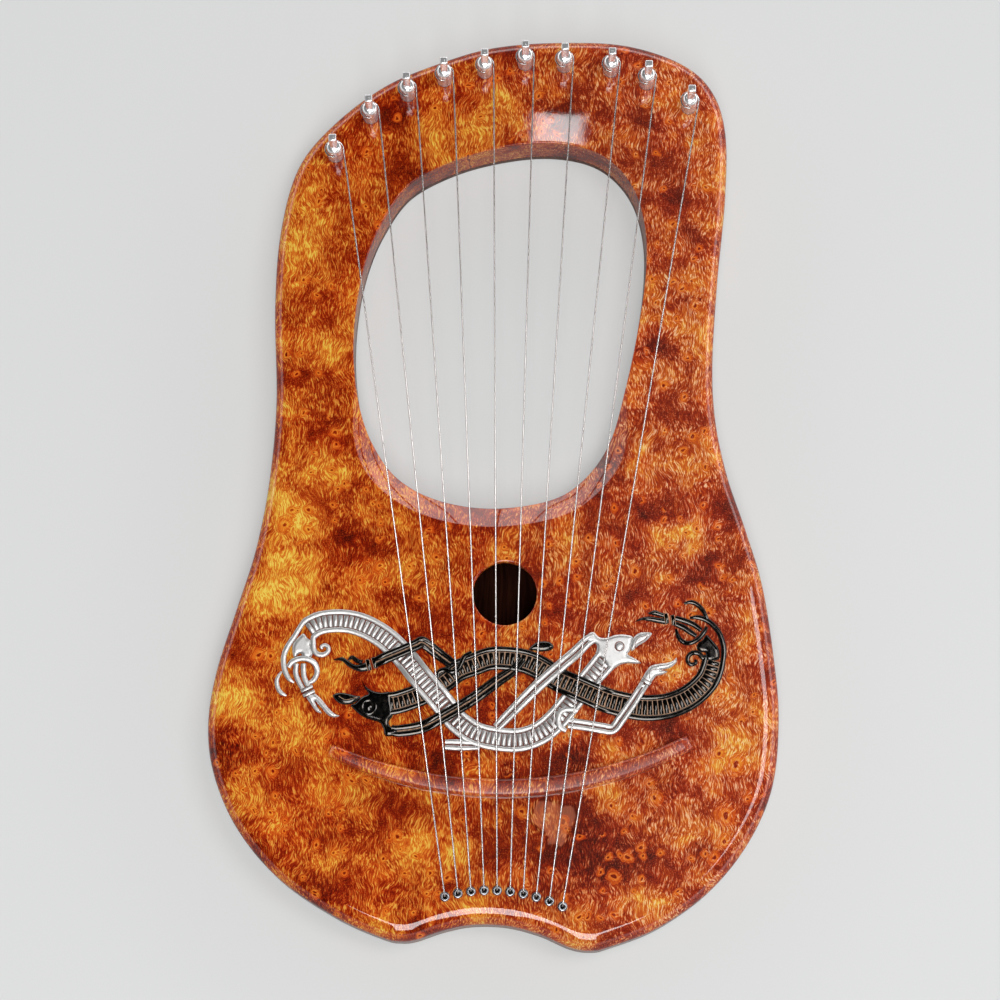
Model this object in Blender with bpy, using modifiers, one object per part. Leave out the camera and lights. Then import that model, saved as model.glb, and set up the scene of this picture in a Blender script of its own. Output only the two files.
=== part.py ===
"""Ten-string lyre harp with a burl front, modelled as its separate pieces.

The lyre lies on its back: +Z points out of the front face, +Y towards the tuning
pins and +X to the player's right.  The origin is on the floor, under the middle.
Lengths are metres; outlines are points in millimetres, scaled once by MM.
"""
import math

import bmesh
import bpy
from mathutils import Vector

MM = 0.001

# Clearances
GLUE_GAP = 0.0003          # glue line between wooden pieces, and under the ornaments
FIT_GAP = 0.0003           # round pieces in their bores, and the wire round a pin

# Body, from the back face upwards
BACK_THICKNESS = 0.004
FRAME_HEIGHT = 0.0124
FRONT_THICKNESS = 0.008
RIM_RADIUS = 0.007         # roundover of the front's outer edge
RIM_SEGMENTS = 5
BACK_RIM_RADIUS = 0.0015
BACK_RIM_SEGMENTS = 2
WALL = 0.009               # side wall round the sound chamber
CHAMBER_TOP_Y = -0.027     # the chamber ends below the hand opening
SOUNDBOARD_SKIN = 0.0035   # what is left of the front over the chamber
OUTLINE_STEPS = 2          # straight sides between two outline points
OPENING_STEPS = 3

# Body outline, clockwise from the top
OUTLINE = [
    (0, 202.5), (30, 205), (60, 203.5), (85, 195), (99, 182), (105, 162), (104.5, 131),
    (100.5, 93), (97.8, 55), (98.7, 29), (103.5, 4), (111.5, -21), (118.5, -46),
    (123, -78), (124.7, -105), (121.5, -134), (111, -158), (94, -179), (71.5, -195),
    (50, -203.4), (42, -205), (33, -203.6), (20, -198), (6, -194.4), (-9, -193.9),
    (-22, -196.5), (-33, -200.2), (-40, -201), (-48, -199.4), (-68.5, -190.4),
    (-93, -174), (-111, -153), (-121.5, -130), (-124.7, -108), (-121.5, -84),
    (-113, -56), (-105, -29.5), (-99.5, 1), (-96.8, 37), (-98, 80), (-96, 115),
    (-88.5, 145), (-73, 165.5), (-50, 183.8), (-25, 195),
]

# Hand opening between the arms, clockwise from the top
OPENING = [
    (22, 155.7), (41, 153.3), (54, 146), (63.5, 133), (68, 115), (68, 95), (64.5, 70),
    (59, 44), (52, 19.5), (41, 3), (26, -7), (0, -11), (-24, -7.5), (-42, 2),
    (-53, 16.5), (-59.5, 34), (-62.3, 57), (-61.2, 80), (-57, 101), (-49.5, 119.5),
    (-38, 136), (-20, 146.5), (0, 152.8),
]
SCOOP_WIDTH = 0.009        # bevel along the opening's lower rim
SCOOP_DEPTH = 0.006
SCOOP_END_Y = 0.048        # the bevel fades out below this line
SCOOP_FADE = 0.040

SOUND_HOLE = (0.005, -0.050)
SOUND_HOLE_RADIUS = 0.014
SOUND_HOLE_SIDES = 40

# Inner woodwork
TAIL_BLOCK_TOP_Y = -0.166
TAIL_BLOCK_MARGIN = 0.012  # past the first and the last string foot
BRACE_WIDTH = 0.008
BRACE_HEIGHT = 0.008
BRACE_END_GAP = 0.004
BRACE_LINES = {"upper_brace": -0.073, "lower_brace": -0.158}
BRIDGE_PATCH_HALF_LENGTH = 0.075
BRIDGE_PATCH_WIDTH = 0.030
BRIDGE_PATCH_HEIGHT = 0.003

# Bridge, an arc that sags towards the tail
BRIDGE_LOW = (0.0037, -0.1357)
BRIDGE_RADIUS = 0.176
BRIDGE_LEFT_ANGLE = math.radians(25.0)
BRIDGE_RIGHT_ANGLE = math.radians(27.5)
BRIDGE_WIDTH = 0.008
BRIDGE_LEFT_WIDTH = 0.0055
BRIDGE_RIGHT_WIDTH = 0.0066
BRIDGE_HEIGHT = 0.005
BRIDGE_ROUNDING = 0.002
BRIDGE_ROUND_SEGMENTS = 3
BRIDGE_STATIONS = 20

# Tuning pins: axis of each on the front face, from the bass side
PIN_SPOTS = [
    (-71.3, 149.8), (-55.5, 167.9), (-38.8, 178.4), (-22.2, 185.4), (-4.0, 189.3),
    (14.2, 193.1), (31.9, 192.0), (52.9, 189.8), (69.1, 183.9), (88.1, 172.5),
]
PIN_RADIUS = 0.0034
PIN_BARREL_HEIGHT = 0.0125
PIN_CONE_HEIGHT = 0.0015
PIN_NECK_RADIUS = 0.0022
PIN_HEAD_WIDTH = 0.0034
PIN_HEAD_ROUNDING = 0.0006
PIN_TOTAL_HEIGHT = 0.027   # head's top above the front face
PIN_DEPTH = 0.018          # driven into front and frame
PIN_TIP_CHAMFER = 0.001
PIN_HOLE_RADIUS = 0.0006
PIN_HOLE_HEIGHT = 0.0105
PIN_HOLE_SIDES = 8
PIN_SIDES = 16

# Strings
STRING_RADIUS = 0.000325
STRING_TURN = 0.75         # from the flank round the back to the pin's hole
STRING_PITCH = 0.0018      # drop of a full turn round the pin
STRING_COIL_POINTS = 24    # points of a full turn
STRING_SPAN_SHARES = (0.01, 0.5, 0.99)  # points of a straight run; the first and last
                                        # keep the wire's section true at its kinks
FOOT_BEND_RADIUS = 0.0012
FOOT_BEND_POINTS = 4

# String feet: ferrules in a shallow arc near the tail
FOOT_FIRST_X = -0.0209
FOOT_PITCH = 0.00562
FOOT_ARC_TOP = (-0.0015, -0.1795)
FOOT_ARC_RADIUS = 0.070
FERRULE_RADIUS = 0.0015
FERRULE_FLANGE_RADIUS = 0.00215
FERRULE_FLANGE_HEIGHT = 0.0009
FERRULE_BORE_RADIUS = 0.0008
FERRULE_LENGTH = 0.010     # below the front face
FERRULE_SIDES = 12

# Ball ends, in holes through the back, drawn up against the tail block
BALL_RADIUS = 0.0016
BALL_LENGTH = 0.0028
BALL_SIDES = 10
BORE_SIDES = 12

# Interlace ornament on the lower front: two flat cast beasts that weave through each
# other.  A point is x, y, width in millimetres and its lift: 1 where the ribbon
# bridges the other beast, 0 where it lies on the front.
RELIEF_THICKNESS = 0.0009
RELIEF_WEAVE_GAP = 0.0004
RELIEF_DRAFT = 0.0003      # how far each side of a ribbon leans in
SILVER_RIBBONS = [
    [(-83.3, -65.8, 5, 0), (-75.9, -62.7, 9.5, 0), (-66.3, -62.3, 9.8, 0),
     (-56.7, -64.5, 10, 0), (-47, -70.2, 10.4, 0), (-38.6, -78.6, 10.6, 0),
     (-32, -87, 10.6, 1), (-23.6, -96.8, 10.4, 1), (-19.8, -101.4, 10.4, 0),
     (-15.4, -106.7, 10.4, 0), (-7.6, -111.9, 10.4, 0), (2, -114.2, 10.4, 0),
     (11.5, -114.5, 10.4, 0), (20.2, -111.5, 10.4, 0), (27.2, -105.8, 10.4, 0),
     (33.3, -98.4, 10, 0), (41.2, -88.7, 9.6, 0), (49.1, -81.2, 9.6, 0),
     (53, -77, 9, 0)],
    [(48.5, -74.6, 6, 0), (51, -75.2, 10, 0), (55, -74.8, 11, 0), (60.2, -73.8, 7, 0)],
    [(60, -73, 3, 0), (64.5, -70.8, 4.4, 0), (69.5, -67.8, 1, 0)],
    [(52, -79, 6, 0), (58, -80.2, 3.6, 0), (64.6, -80.6, 0.8, 0)],
    [(48, -75, 4, 0), (44, -71.4, 5, 0), (36.4, -75.9, 5.4, 0), (30.2, -81.4, 5.4, 1),
     (19.8, -90.6, 5.4, 1), (13, -97.2, 5.2, 0), (5, -105.4, 4.6, 0)],
    [(27.6, -110.7, 3, 0), (27.2, -105.4, 3, 0), (29.8, -101.9, 3, 0),
     (33.8, -101, 3, 0), (37.7, -102.3, 3, 0)],
    [(33.6, -107.4, 5, 0), (42, -108.2, 4.8, 0), (51.5, -110.2, 4.8, 0),
     (55.5, -105.6, 4.6, 1), (64.3, -94, 4.4, 1), (68.4, -87.4, 4.2, 0),
     (73.6, -83, 3, 0), (80, -79.4, 1, 0)],
    [(70, -86, 2.4, 0), (76.5, -84.4, 1, 0)],
    [(-20.6, -113.9, 4.6, 0), (-13.7, -116, 5, 0), (-6, -116.4, 4.4, 0)],
    [(-84.4, -66.5, 2.4, 0), (-88.9, -71.1, 2.4, 0), (-91.5, -77.3, 2.4, 0),
     (-90.6, -83, 2.2, 0), (-87.6, -88.4, 1, 0)],
    [(-80, -65.4, 4, 0), (-83.4, -72.4, 7, 0), (-85.4, -79, 3, 0)],
    [(-72.6, -66.6, 2.6, 0), (-78.2, -70.6, 2.4, 0), (-79.3, -75.1, 2.2, 0),
     (-76.6, -77.5, 2, 0), (-73.2, -76.4, 1.9, 0), (-72.9, -73.8, 1.4, 0)],
    [(-90.4, -82.6, 2, 0), (-84.5, -80.2, 2.4, 0), (-78.3, -80.2, 2.4, 0),
     (-76, -83.9, 2.4, 0), (-77.4, -88.3, 2, 0), (-82, -90, 1.4, 0)],
    [(-86.2, -80.6, 4.4, 0), (-84.4, -88.3, 4.4, 0), (-80.8, -94, 4.4, 0),
     (-76.4, -99.7, 3.4, 0), (-72, -103.2, 2.4, 0), (-67.6, -104.2, 1, 0)],
    [(-79.4, -96.8, 3, 0), (-75.6, -102.6, 1, 0)],
    [(-90.2, -83.4, 1.4, 0), (-94.6, -87.4, 1.9, 0), (-94.8, -91.8, 1.8, 0),
     (-90.4, -95.3, 1, 0)],
]
BLACK_RIBBONS = [
    [(-49, -99, 11, 0), (-43.3, -98.6, 10, 0), (-34.2, -95.7, 10, 0),
     (-27.7, -92.7, 10, 0), (-21.1, -88.7, 9.6, 0), (-15.5, -84.4, 9.6, 0),
     (-8.5, -81.5, 10, 0), (-0.2, -78.8, 10.2, 0), (11.1, -79.5, 10.4, 0),
     (18.6, -82.1, 10.6, 0), (25.1, -86.1, 10.6, 0), (28.4, -88.2, 10.6, 0),
     (34, -90.8, 10.6, 1), (45, -95.7, 10.8, 1), (51, -97.8, 11, 0),
     (59, -99.7, 11.2, 0), (67.3, -100.6, 11.4, 0), (76.8, -99.5, 11.3, 0),
     (86, -95.3, 11, 0), (93.4, -88, 10.6, 0), (96.2, -79.5, 10, 0),
     (94.6, -73, 7, 0), (91.6, -69.6, 3.4, 0)],
    [(-61.6, -98.9, 4, 0), (-58.2, -99.7, 8.6, 0), (-52.8, -99.7, 12, 0),
     (-47.5, -99.4, 12.4, 0)],
    [(-60, -98.5, 2, 0), (-64.6, -96.6, 3.6, 0), (-69.6, -94.8, 0.8, 0)],
    [(-46, -94.4, 3, 0), (-52.4, -93.4, 3.4, 0), (-57, -88.6, 0.6, 0)],
    [(-51, -103.6, 9, 0), (-47.8, -108.6, 6, 0), (-46.2, -112.4, 1, 0)],
    [(-47.6, -109.6, 5, 0), (-40.6, -110.6, 5.4, 0), (-32, -109.2, 5.6, 0),
     (-24.6, -106, 5.6, 1), (-11.4, -100.4, 5.6, 1), (-5, -96.6, 5.6, 0),
     (2, -90.9, 5.4, 0), (8.1, -85.4, 4.6, 0), (13, -79.4, 3.4, 0)],
    [(14.2, -76.5, 1.6, 0), (18, -73.6, 3, 0), (22, -72.6, 3.8, 0), (25.6, -73.2, 2, 0)],
    [(-69.4, -78.8, 1, 0), (-65, -79.9, 2.6, 0), (-60.4, -81.9, 4, 0),
     (-53.2, -80.6, 4.2, 0), (-47.6, -78.8, 5, 1), (-34, -73.4, 5, 1),
     (-31, -71.9, 5, 1), (-24.4, -76.8, 5, 0), (-16, -83.2, 4.4, 0)],
    [(-62, -78, 1, 0), (-58.4, -80.8, 2.2, 0)],
    [(100.2, -77.2, 2.2, 0), (99.2, -71.4, 2.2, 0), (95.4, -64, 2.2, 0),
     (90.4, -61, 2, 0), (85.6, -60.7, 1, 0)],
    [(90.4, -83.6, 2.6, 0), (91.4, -79.4, 2.2, 0), (89.7, -76.6, 2, 0),
     (86.2, -76.6, 2, 0), (84.9, -79.4, 1.9, 0), (87.2, -81, 1.4, 0)],
    [(92, -69.4, 4, 0), (84.2, -64.4, 4, 0), (76.6, -61.5, 4, 0), (68.5, -60.1, 2.2, 0),
     (62.4, -62.2, 1, 0)],
    [(77, -61, 2.4, 0), (70.6, -58.2, 1.8, 0), (66.4, -58.6, 0.8, 0)],
    [(80.2, -63.4, 1.6, 0), (80.6, -68, 1.8, 0), (84.6, -71.6, 1.8, 0),
     (89.6, -70.2, 1.8, 0)],
    [(84, -53.9, 1, 0), (88, -53.9, 1.8, 0), (92.2, -56.6, 2, 0), (95, -63, 1.8, 0)],
]
RELIEF_STEPS = 2

# Heights that follow
FRAME_BOTTOM = BACK_THICKNESS + GLUE_GAP
FRAME_TOP = FRAME_BOTTOM + FRAME_HEIGHT
FRONT_BOTTOM = FRAME_TOP + GLUE_GAP
FACE_Z = FRONT_BOTTOM + FRONT_THICKNESS
CHAMBER_CEILING = FACE_Z - SOUNDBOARD_SKIN
BALL_Z = FRAME_BOTTOM - FIT_GAP - BALL_RADIUS
POCKET_RADIUS = ((math.hypot(BALL_RADIUS, BALL_LENGTH / 2) + FIT_GAP)
                 / math.cos(math.pi / BORE_SIDES))
BRIDGE_TOP = FACE_Z + GLUE_GAP + BRIDGE_HEIGHT
CUT_MARGIN = 0.002         # cutters run this far past what they cut

COLOURS = {
    "burl": ((0.50, 0.13, 0.025), 0.15, 0.0),
    "dark_wood": ((0.16, 0.045, 0.015), 0.4, 0.0),
    "spruce": ((0.62, 0.42, 0.22), 0.6, 0.0),
    "chrome": ((0.72, 0.72, 0.74), 0.12, 1.0),
    "steel": ((0.60, 0.60, 0.62), 0.22, 1.0),
    "brass": ((0.72, 0.50, 0.18), 0.3, 1.0),
    "silver": ((0.75, 0.74, 0.71), 0.28, 1.0),
    "blackened": ((0.045, 0.04, 0.037), 0.25, 1.0),
}


def clear_scene():
    for thing in list(bpy.data.objects):
        bpy.data.objects.remove(thing, do_unlink=True)


def collection(name, parent=None):
    made = bpy.data.collections.new(name)
    (parent or bpy.context.scene.collection).children.link(made)
    return made


def material(name):
    made = bpy.data.materials.get(name)
    if made:
        return made
    colour, roughness, metallic = COLOURS[name]
    made = bpy.data.materials.new(name)
    made.use_nodes = True
    shader = made.node_tree.nodes["Principled BSDF"]
    shader.inputs["Base Color"].default_value = (*colour, 1.0)
    shader.inputs["Roughness"].default_value = roughness
    shader.inputs["Metallic"].default_value = metallic
    made.diffuse_color = (*colour, 1.0)
    return made


def piece_material(piece, finish):
    """Give a piece its own copy of a finish."""
    own = material(finish).copy()
    own.name = piece.name + "_" + finish
    piece.data.materials.clear()
    piece.data.materials.append(own)


def mesh_object(name, bm, home):
    bmesh.ops.recalc_face_normals(bm, faces=bm.faces)
    mesh = bpy.data.meshes.new(name)
    bm.to_mesh(mesh)
    bm.free()
    made = bpy.data.objects.new(name, mesh)
    home.objects.link(made)
    return made


def evaluated_mesh(thing):
    graph = bpy.context.evaluated_depsgraph_get()
    return bpy.data.meshes.new_from_object(thing.evaluated_get(graph))


def smooth(thing, degrees=35):
    thing.data.shade_smooth()
    thing.data.set_sharp_from_angle(angle=math.radians(degrees))


def spline_point(p0, p1, p2, p3, t):
    """Catmull-Rom point between p1 and p2."""
    return 0.5 * (2 * p1 + (p2 - p0) * t + (2 * p0 - 5 * p1 + 4 * p2 - p3) * t ** 2
                  + (3 * p1 - p0 - 3 * p2 + p3) * t ** 3)


def smooth_loop(points_mm, steps):
    """Closed smooth curve through the points, as 2D vectors in metres."""
    spots = [Vector(p) * MM for p in points_mm]
    count = len(spots)
    loop = []
    for i in range(count):
        near = [spots[(i + k) % count] for k in (-1, 0, 1, 2)]
        loop += [spline_point(*near, step / steps) for step in range(steps)]
    return loop


def smooth_path(points, steps):
    """Open smooth curve through the points, its two ends included."""
    spots = [points[0]] + list(points) + [points[-1]]
    path = []
    for i in range(len(points) - 1):
        path += [spline_point(*spots[i:i + 4], step / steps) for step in range(steps)]
    return path + [points[-1]]


def outward(loop, i):
    """Unit normal of a clockwise loop at point i, away from its middle."""
    along = loop[(i + 1) % len(loop)] - loop[i - 1]
    return Vector((-along.y, along.x)).normalized()


def offset(loop, distance):
    """The loop moved outwards by distance, or inwards if it is negative."""
    return [p + outward(loop, i) * distance for i, p in enumerate(loop)]


def below(loop, height):
    """The part of a loop that lies below a horizontal line."""
    kept = []
    for i, p in enumerate(loop):
        before = loop[i - 1]
        if (before.y < height) != (p.y < height):
            share = (height - before.y) / (p.y - before.y)
            kept.append(before.lerp(p, share))
        if p.y < height:
            kept.append(p)
    return kept


def plate(name, loop, bottom, top, home):
    """Flat piece with the given outline, extruded from bottom to top."""
    curve = bpy.data.curves.new(name, "CURVE")
    curve.dimensions = "2D"
    curve.fill_mode = "BOTH"
    curve.extrude = (top - bottom) / 2
    spline = curve.splines.new("POLY")
    spline.points.add(len(loop) - 1)
    for point, spot in zip(spline.points, loop):
        point.co = (spot.x, spot.y, 0, 1)
    spline.use_cyclic_u = True
    flat = bpy.data.objects.new(name, curve)
    home.objects.link(flat)
    bm = bmesh.new()
    bm.from_mesh(evaluated_mesh(flat))
    bpy.data.objects.remove(flat)
    bmesh.ops.remove_doubles(bm, verts=bm.verts, dist=1e-6)
    bmesh.ops.translate(bm, verts=bm.verts, vec=(0, 0, (top + bottom) / 2))
    inner = [e for e in bm.edges if all(abs(f.normal.z) > 0.9 for f in e.link_faces)]
    bmesh.ops.dissolve_edges(bm, edges=inner, use_verts=False)
    return mesh_object(name, bm, home)


def round_rim(thing, height, radius, segments):
    """Round the edges of a plate that lie at the given height."""
    bm = bmesh.new()
    bm.from_mesh(thing.data)
    rim = [e for e in bm.edges if all(abs(v.co.z - height) < 1e-6 for v in e.verts)]
    bmesh.ops.bevel(bm, geom=rim, offset=radius, segments=segments, profile=0.5,
                    affect="EDGES", clamp_overlap=False)
    bm.to_mesh(thing.data)
    bm.free()


def loft(name, rings, home, closed=False):
    """Skin a row of equal rings; an open row gets a flat cap at each end."""
    bm = bmesh.new()
    rows = [[bm.verts.new(p) for p in ring] for ring in rings]
    pairs = list(zip(rows, rows[1:]))
    if closed:
        pairs.append((rows[-1], rows[0]))
    else:
        bm.faces.new(rows[0])
        bm.faces.new(reversed(rows[-1]))
    for one, two in pairs:
        for k in range(len(one)):
            bm.faces.new((one[k - 1], one[k], two[k], two[k - 1]))
    return mesh_object(name, bm, home)


def rod(name, x, y, bottom, top, radius, sides, home):
    """Upright cylinder."""
    bm = bmesh.new()
    bmesh.ops.create_cone(bm, cap_ends=True, segments=sides, radius1=radius,
                          radius2=radius, depth=top - bottom)
    bmesh.ops.translate(bm, verts=bm.verts, vec=(x, y, (top + bottom) / 2))
    return mesh_object(name, bm, home)


def block(name, low, high, home):
    """Box between two corners."""
    bm = bmesh.new()
    bmesh.ops.create_cube(bm, size=1.0)
    size = [b - a for a, b in zip(low, high)]
    middle = [(a + b) / 2 for a, b in zip(low, high)]
    bmesh.ops.scale(bm, verts=bm.verts, vec=size)
    bmesh.ops.translate(bm, verts=bm.verts, vec=middle)
    return mesh_object(name, bm, home)


def turned(name, profile, sides, home):
    """Solid of revolution about Z; the profile runs from top to bottom."""
    mesh = bpy.data.meshes.new(name)
    edges = [(i, i + 1) for i in range(len(profile) - 1)]
    mesh.from_pydata([(r, 0, z) for r, z in profile], edges, [])
    made = bpy.data.objects.new(name, mesh)
    home.objects.link(made)
    screw = made.modifiers.new("turn", "SCREW")
    screw.steps = sides
    screw.render_steps = sides
    screw.use_merge_vertices = True
    screw.merge_threshold = 0.00001
    screw.use_smooth_shade = True
    return made


def tube(name, points, radius, home):
    """Wire along the points, six-sided, with closed ends."""
    curve = bpy.data.curves.new(name, "CURVE")
    curve.dimensions = "3D"
    curve.bevel_depth = radius
    curve.bevel_resolution = 1
    curve.use_fill_caps = True
    spline = curve.splines.new("POLY")
    spline.points.add(len(points) - 1)
    for point, spot in zip(spline.points, points):
        point.co = (*spot, 1)
    made = bpy.data.objects.new(name, curve)
    home.objects.link(made)
    return made


def as_cutter(thing, homes):
    """Hide a cutter from renders and put it in the cut collections that use it."""
    for home in list(thing.users_collection):
        home.objects.unlink(thing)
    for home in homes:
        home.objects.link(thing)
    thing.hide_render = True
    thing.display_type = "WIRE"


def boolean(thing, other, operation):
    """Add an exact Boolean with one object or a whole collection."""
    change = thing.modifiers.new(operation.lower(), "BOOLEAN")
    change.operation = operation
    change.solver = "EXACT"
    if isinstance(other, bpy.types.Collection):
        change.operand_type = "COLLECTION"
        change.collection = other
    else:
        change.object = other


def settle(thing):
    """Replace an object's mesh by its evaluated one and drop the modifiers."""
    mesh = evaluated_mesh(thing)
    thing.modifiers.clear()
    thing.data = mesh


def fuse(name, pieces):
    """Join overlapping solids into one body."""
    first, *others = pieces
    for other in others:
        boolean(first, other, "UNION")
    settle(first)
    for other in others:
        bpy.data.objects.remove(other, do_unlink=True)
    first.name = name
    return first


def ribbon(name, points, home):
    """Flat band of varying width and lift, with sides that lean in."""
    path = smooth_path([Vector(p) for p in points], RELIEF_STEPS)
    rings = []
    for i, spot in enumerate(path):
        along = Vector(path[min(i + 1, len(path) - 1)][:2]) - Vector(path[max(i - 1, 0)][:2])
        across = Vector((-along.y, along.x)).normalized()
        middle = Vector(spot[:2]) * MM
        lift = min(max(spot[3], 0.0), 1.0)
        bottom = FACE_Z + GLUE_GAP + lift * (RELIEF_THICKNESS + RELIEF_WEAVE_GAP)
        half = spot[2] * MM / 2
        crown = max(half - RELIEF_DRAFT, half / 2)
        ring = []
        for side, height in ((-half, 0), (-crown, 1), (crown, 1), (half, 0)):
            edge = middle + across * side
            ring.append((edge.x, edge.y, bottom + height * RELIEF_THICKNESS))
        rings.append(ring)
    return loft(name, rings, home)


def make_ornament(home):
    """The two beasts, each fused from its ribbons."""
    beasts = (("silver_beast", SILVER_RIBBONS, "silver"),
              ("black_beast", BLACK_RIBBONS, "blackened"))
    for name, ribbons, finish in beasts:
        pieces = [ribbon(f"{name}_{i:02d}", r, home) for i, r in enumerate(ribbons)]
        beast = fuse(name, pieces)
        piece_material(beast, finish)


def foot_spots():
    """Where each string goes into the front, from the bass side."""
    spots = []
    for i in range(len(PIN_SPOTS)):
        x = FOOT_FIRST_X + i * FOOT_PITCH
        away = x - FOOT_ARC_TOP[0]
        spots.append((x, FOOT_ARC_TOP[1] - away ** 2 / (2 * FOOT_ARC_RADIUS)))
    return spots


def pin_spots():
    return [(x * MM, y * MM) for x, y in PIN_SPOTS]


def scoop_strength(y):
    """1 along the opening's lower rim, easing to 0 up its sides."""
    share = min(max((SCOOP_END_Y - y) / SCOOP_FADE, 0.0), 1.0)
    return share * share * (3 - 2 * share)


def scoop_cutter(loop, home):
    """Wedge that bevels the lower rim of the opening and fades out at its ends."""
    slope = SCOOP_DEPTH / SCOOP_WIDTH
    reach = CUT_MARGIN
    rings = []
    lower = [i for i, p in enumerate(loop) if p.y < SCOOP_END_Y]
    for i in lower:
        strength = scoop_strength(loop[i].y)
        away = outward(loop, i)
        crest = loop[i] + away * (SCOOP_WIDTH * strength + reach)
        inside = loop[i] - away * reach
        lip = FACE_Z - SCOOP_DEPTH * strength
        rings.append([(inside.x, inside.y, lip - reach * slope),
                      (crest.x, crest.y, FACE_Z + reach * slope),
                      (inside.x, inside.y, FACE_Z + reach * slope)])
    return loft("scoop_cutter", rings, home)


def make_cutters(outline, opening, cuts):
    """All holes, each in the collections of the pieces that it goes through."""
    scratch = cuts["scratch"]
    body = [cuts["soundboard"], cuts["body_frame"], cuts["back_plate"]]
    front, frame, back, tail = (*body, cuts["tail_block"])
    hole = plate("opening_cutter", opening, -CUT_MARGIN, FACE_Z + CUT_MARGIN, scratch)
    as_cutter(hole, body)
    as_cutter(scoop_cutter(opening, scratch), [front])
    room = below(offset(outline, -WALL), CHAMBER_TOP_Y)
    chamber = plate("chamber_cutter", room, FRAME_BOTTOM - CUT_MARGIN, CHAMBER_CEILING,
                    scratch)
    as_cutter(chamber, [front, frame])
    sound_hole = rod("sound_hole_cutter", *SOUND_HOLE, FRONT_BOTTOM, FACE_Z + CUT_MARGIN,
                     SOUND_HOLE_RADIUS, SOUND_HOLE_SIDES, scratch)
    as_cutter(sound_hole, [front])
    for i, (x, y) in enumerate(pin_spots()):
        bore = rod(f"pin_bore_{i + 1:02d}", x, y, FACE_Z - PIN_DEPTH - FIT_GAP,
                   FACE_Z + CUT_MARGIN, PIN_RADIUS + FIT_GAP, PIN_SIDES, scratch)
        as_cutter(bore, [front, frame])
    for i, (x, y) in enumerate(foot_spots()):
        seat = rod(f"ferrule_bore_{i + 1:02d}", x, y, FACE_Z - FERRULE_LENGTH - FIT_GAP,
                   FACE_Z + CUT_MARGIN, FERRULE_RADIUS + FIT_GAP, BORE_SIDES, scratch)
        as_cutter(seat, [front, tail])
        way = rod(f"string_bore_{i + 1:02d}", x, y, FRAME_BOTTOM - CUT_MARGIN,
                  FACE_Z - FERRULE_LENGTH, FERRULE_BORE_RADIUS, BORE_SIDES, scratch)
        as_cutter(way, [tail])
        pocket = rod(f"ball_pocket_{i + 1:02d}", x, y, -CUT_MARGIN,
                     BACK_THICKNESS + CUT_MARGIN, POCKET_RADIUS, BORE_SIDES, scratch)
        as_cutter(pocket, [back])


def make_body(outline, cuts, home):
    """Front, frame and back, one above the other with a glue line between them."""
    front = plate("soundboard", outline, FRONT_BOTTOM, FACE_Z, home)
    round_rim(front, FACE_Z, RIM_RADIUS, RIM_SEGMENTS)
    frame = plate("body_frame", outline, FRAME_BOTTOM, FRAME_TOP, home)
    back = plate("back_plate", outline, 0.0, BACK_THICKNESS, home)
    round_rim(back, 0.0, BACK_RIM_RADIUS, BACK_RIM_SEGMENTS)
    for piece, finish in ((front, "burl"), (frame, "burl"), (back, "dark_wood")):
        boolean(piece, cuts[piece.name], "DIFFERENCE")
        piece_material(piece, finish)


def make_tail_block(outline, cuts, home):
    """Block under the string feet, fitted to the chamber's lower wall."""
    room = below(offset(outline, -WALL - GLUE_GAP), TAIL_BLOCK_TOP_Y)
    tail = plate("tail_block", room, FRAME_BOTTOM, CHAMBER_CEILING - GLUE_GAP, home)
    feet = foot_spots()
    lowest = min(p.y for p in outline)
    low = (feet[0][0] - TAIL_BLOCK_MARGIN, lowest, 0.0)
    high = (feet[-1][0] + TAIL_BLOCK_MARGIN, TAIL_BLOCK_TOP_Y + CUT_MARGIN, FACE_Z)
    limits = block("tail_block_limits", low, high, cuts["scratch"])
    as_cutter(limits, [cuts["scratch"]])
    boolean(tail, limits, "INTERSECT")
    boolean(tail, cuts["tail_block"], "DIFFERENCE")
    piece_material(tail, "dark_wood")


def chamber_walls(outline, y):
    """Where the chamber's left and right walls cross a line of constant y."""
    room = offset(outline, -WALL)
    crossings = []
    for i, p in enumerate(room):
        before = room[i - 1]
        if (before.y < y) != (p.y < y):
            crossings.append(before.lerp(p, (y - before.y) / (p.y - before.y)).x)
    return min(crossings), max(crossings)


def make_braces(outline, home):
    """Bars and the bridge patch, glued under the thin part of the front."""
    top = CHAMBER_CEILING - GLUE_GAP
    for name, y in BRACE_LINES.items():
        edges = [chamber_walls(outline, y + s * BRACE_WIDTH / 2) for s in (-1, 1)]
        left = max(e[0] for e in edges) + BRACE_END_GAP
        right = min(e[1] for e in edges) - BRACE_END_GAP
        low = (left, y - BRACE_WIDTH / 2, top - BRACE_HEIGHT)
        brace = block(name, low, (right, y + BRACE_WIDTH / 2, top), home)
        piece_material(brace, "spruce")
    x, y = BRIDGE_LOW
    low = (x - BRIDGE_PATCH_HALF_LENGTH, y - BRIDGE_WIDTH, top - BRIDGE_PATCH_HEIGHT)
    high = (x + BRIDGE_PATCH_HALF_LENGTH, y - BRIDGE_WIDTH + BRIDGE_PATCH_WIDTH, top)
    patch = block("bridge_patch", low, high, home)
    piece_material(patch, "spruce")


def bridge_centre():
    return Vector((BRIDGE_LOW[0], BRIDGE_LOW[1] + BRIDGE_RADIUS))


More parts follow.
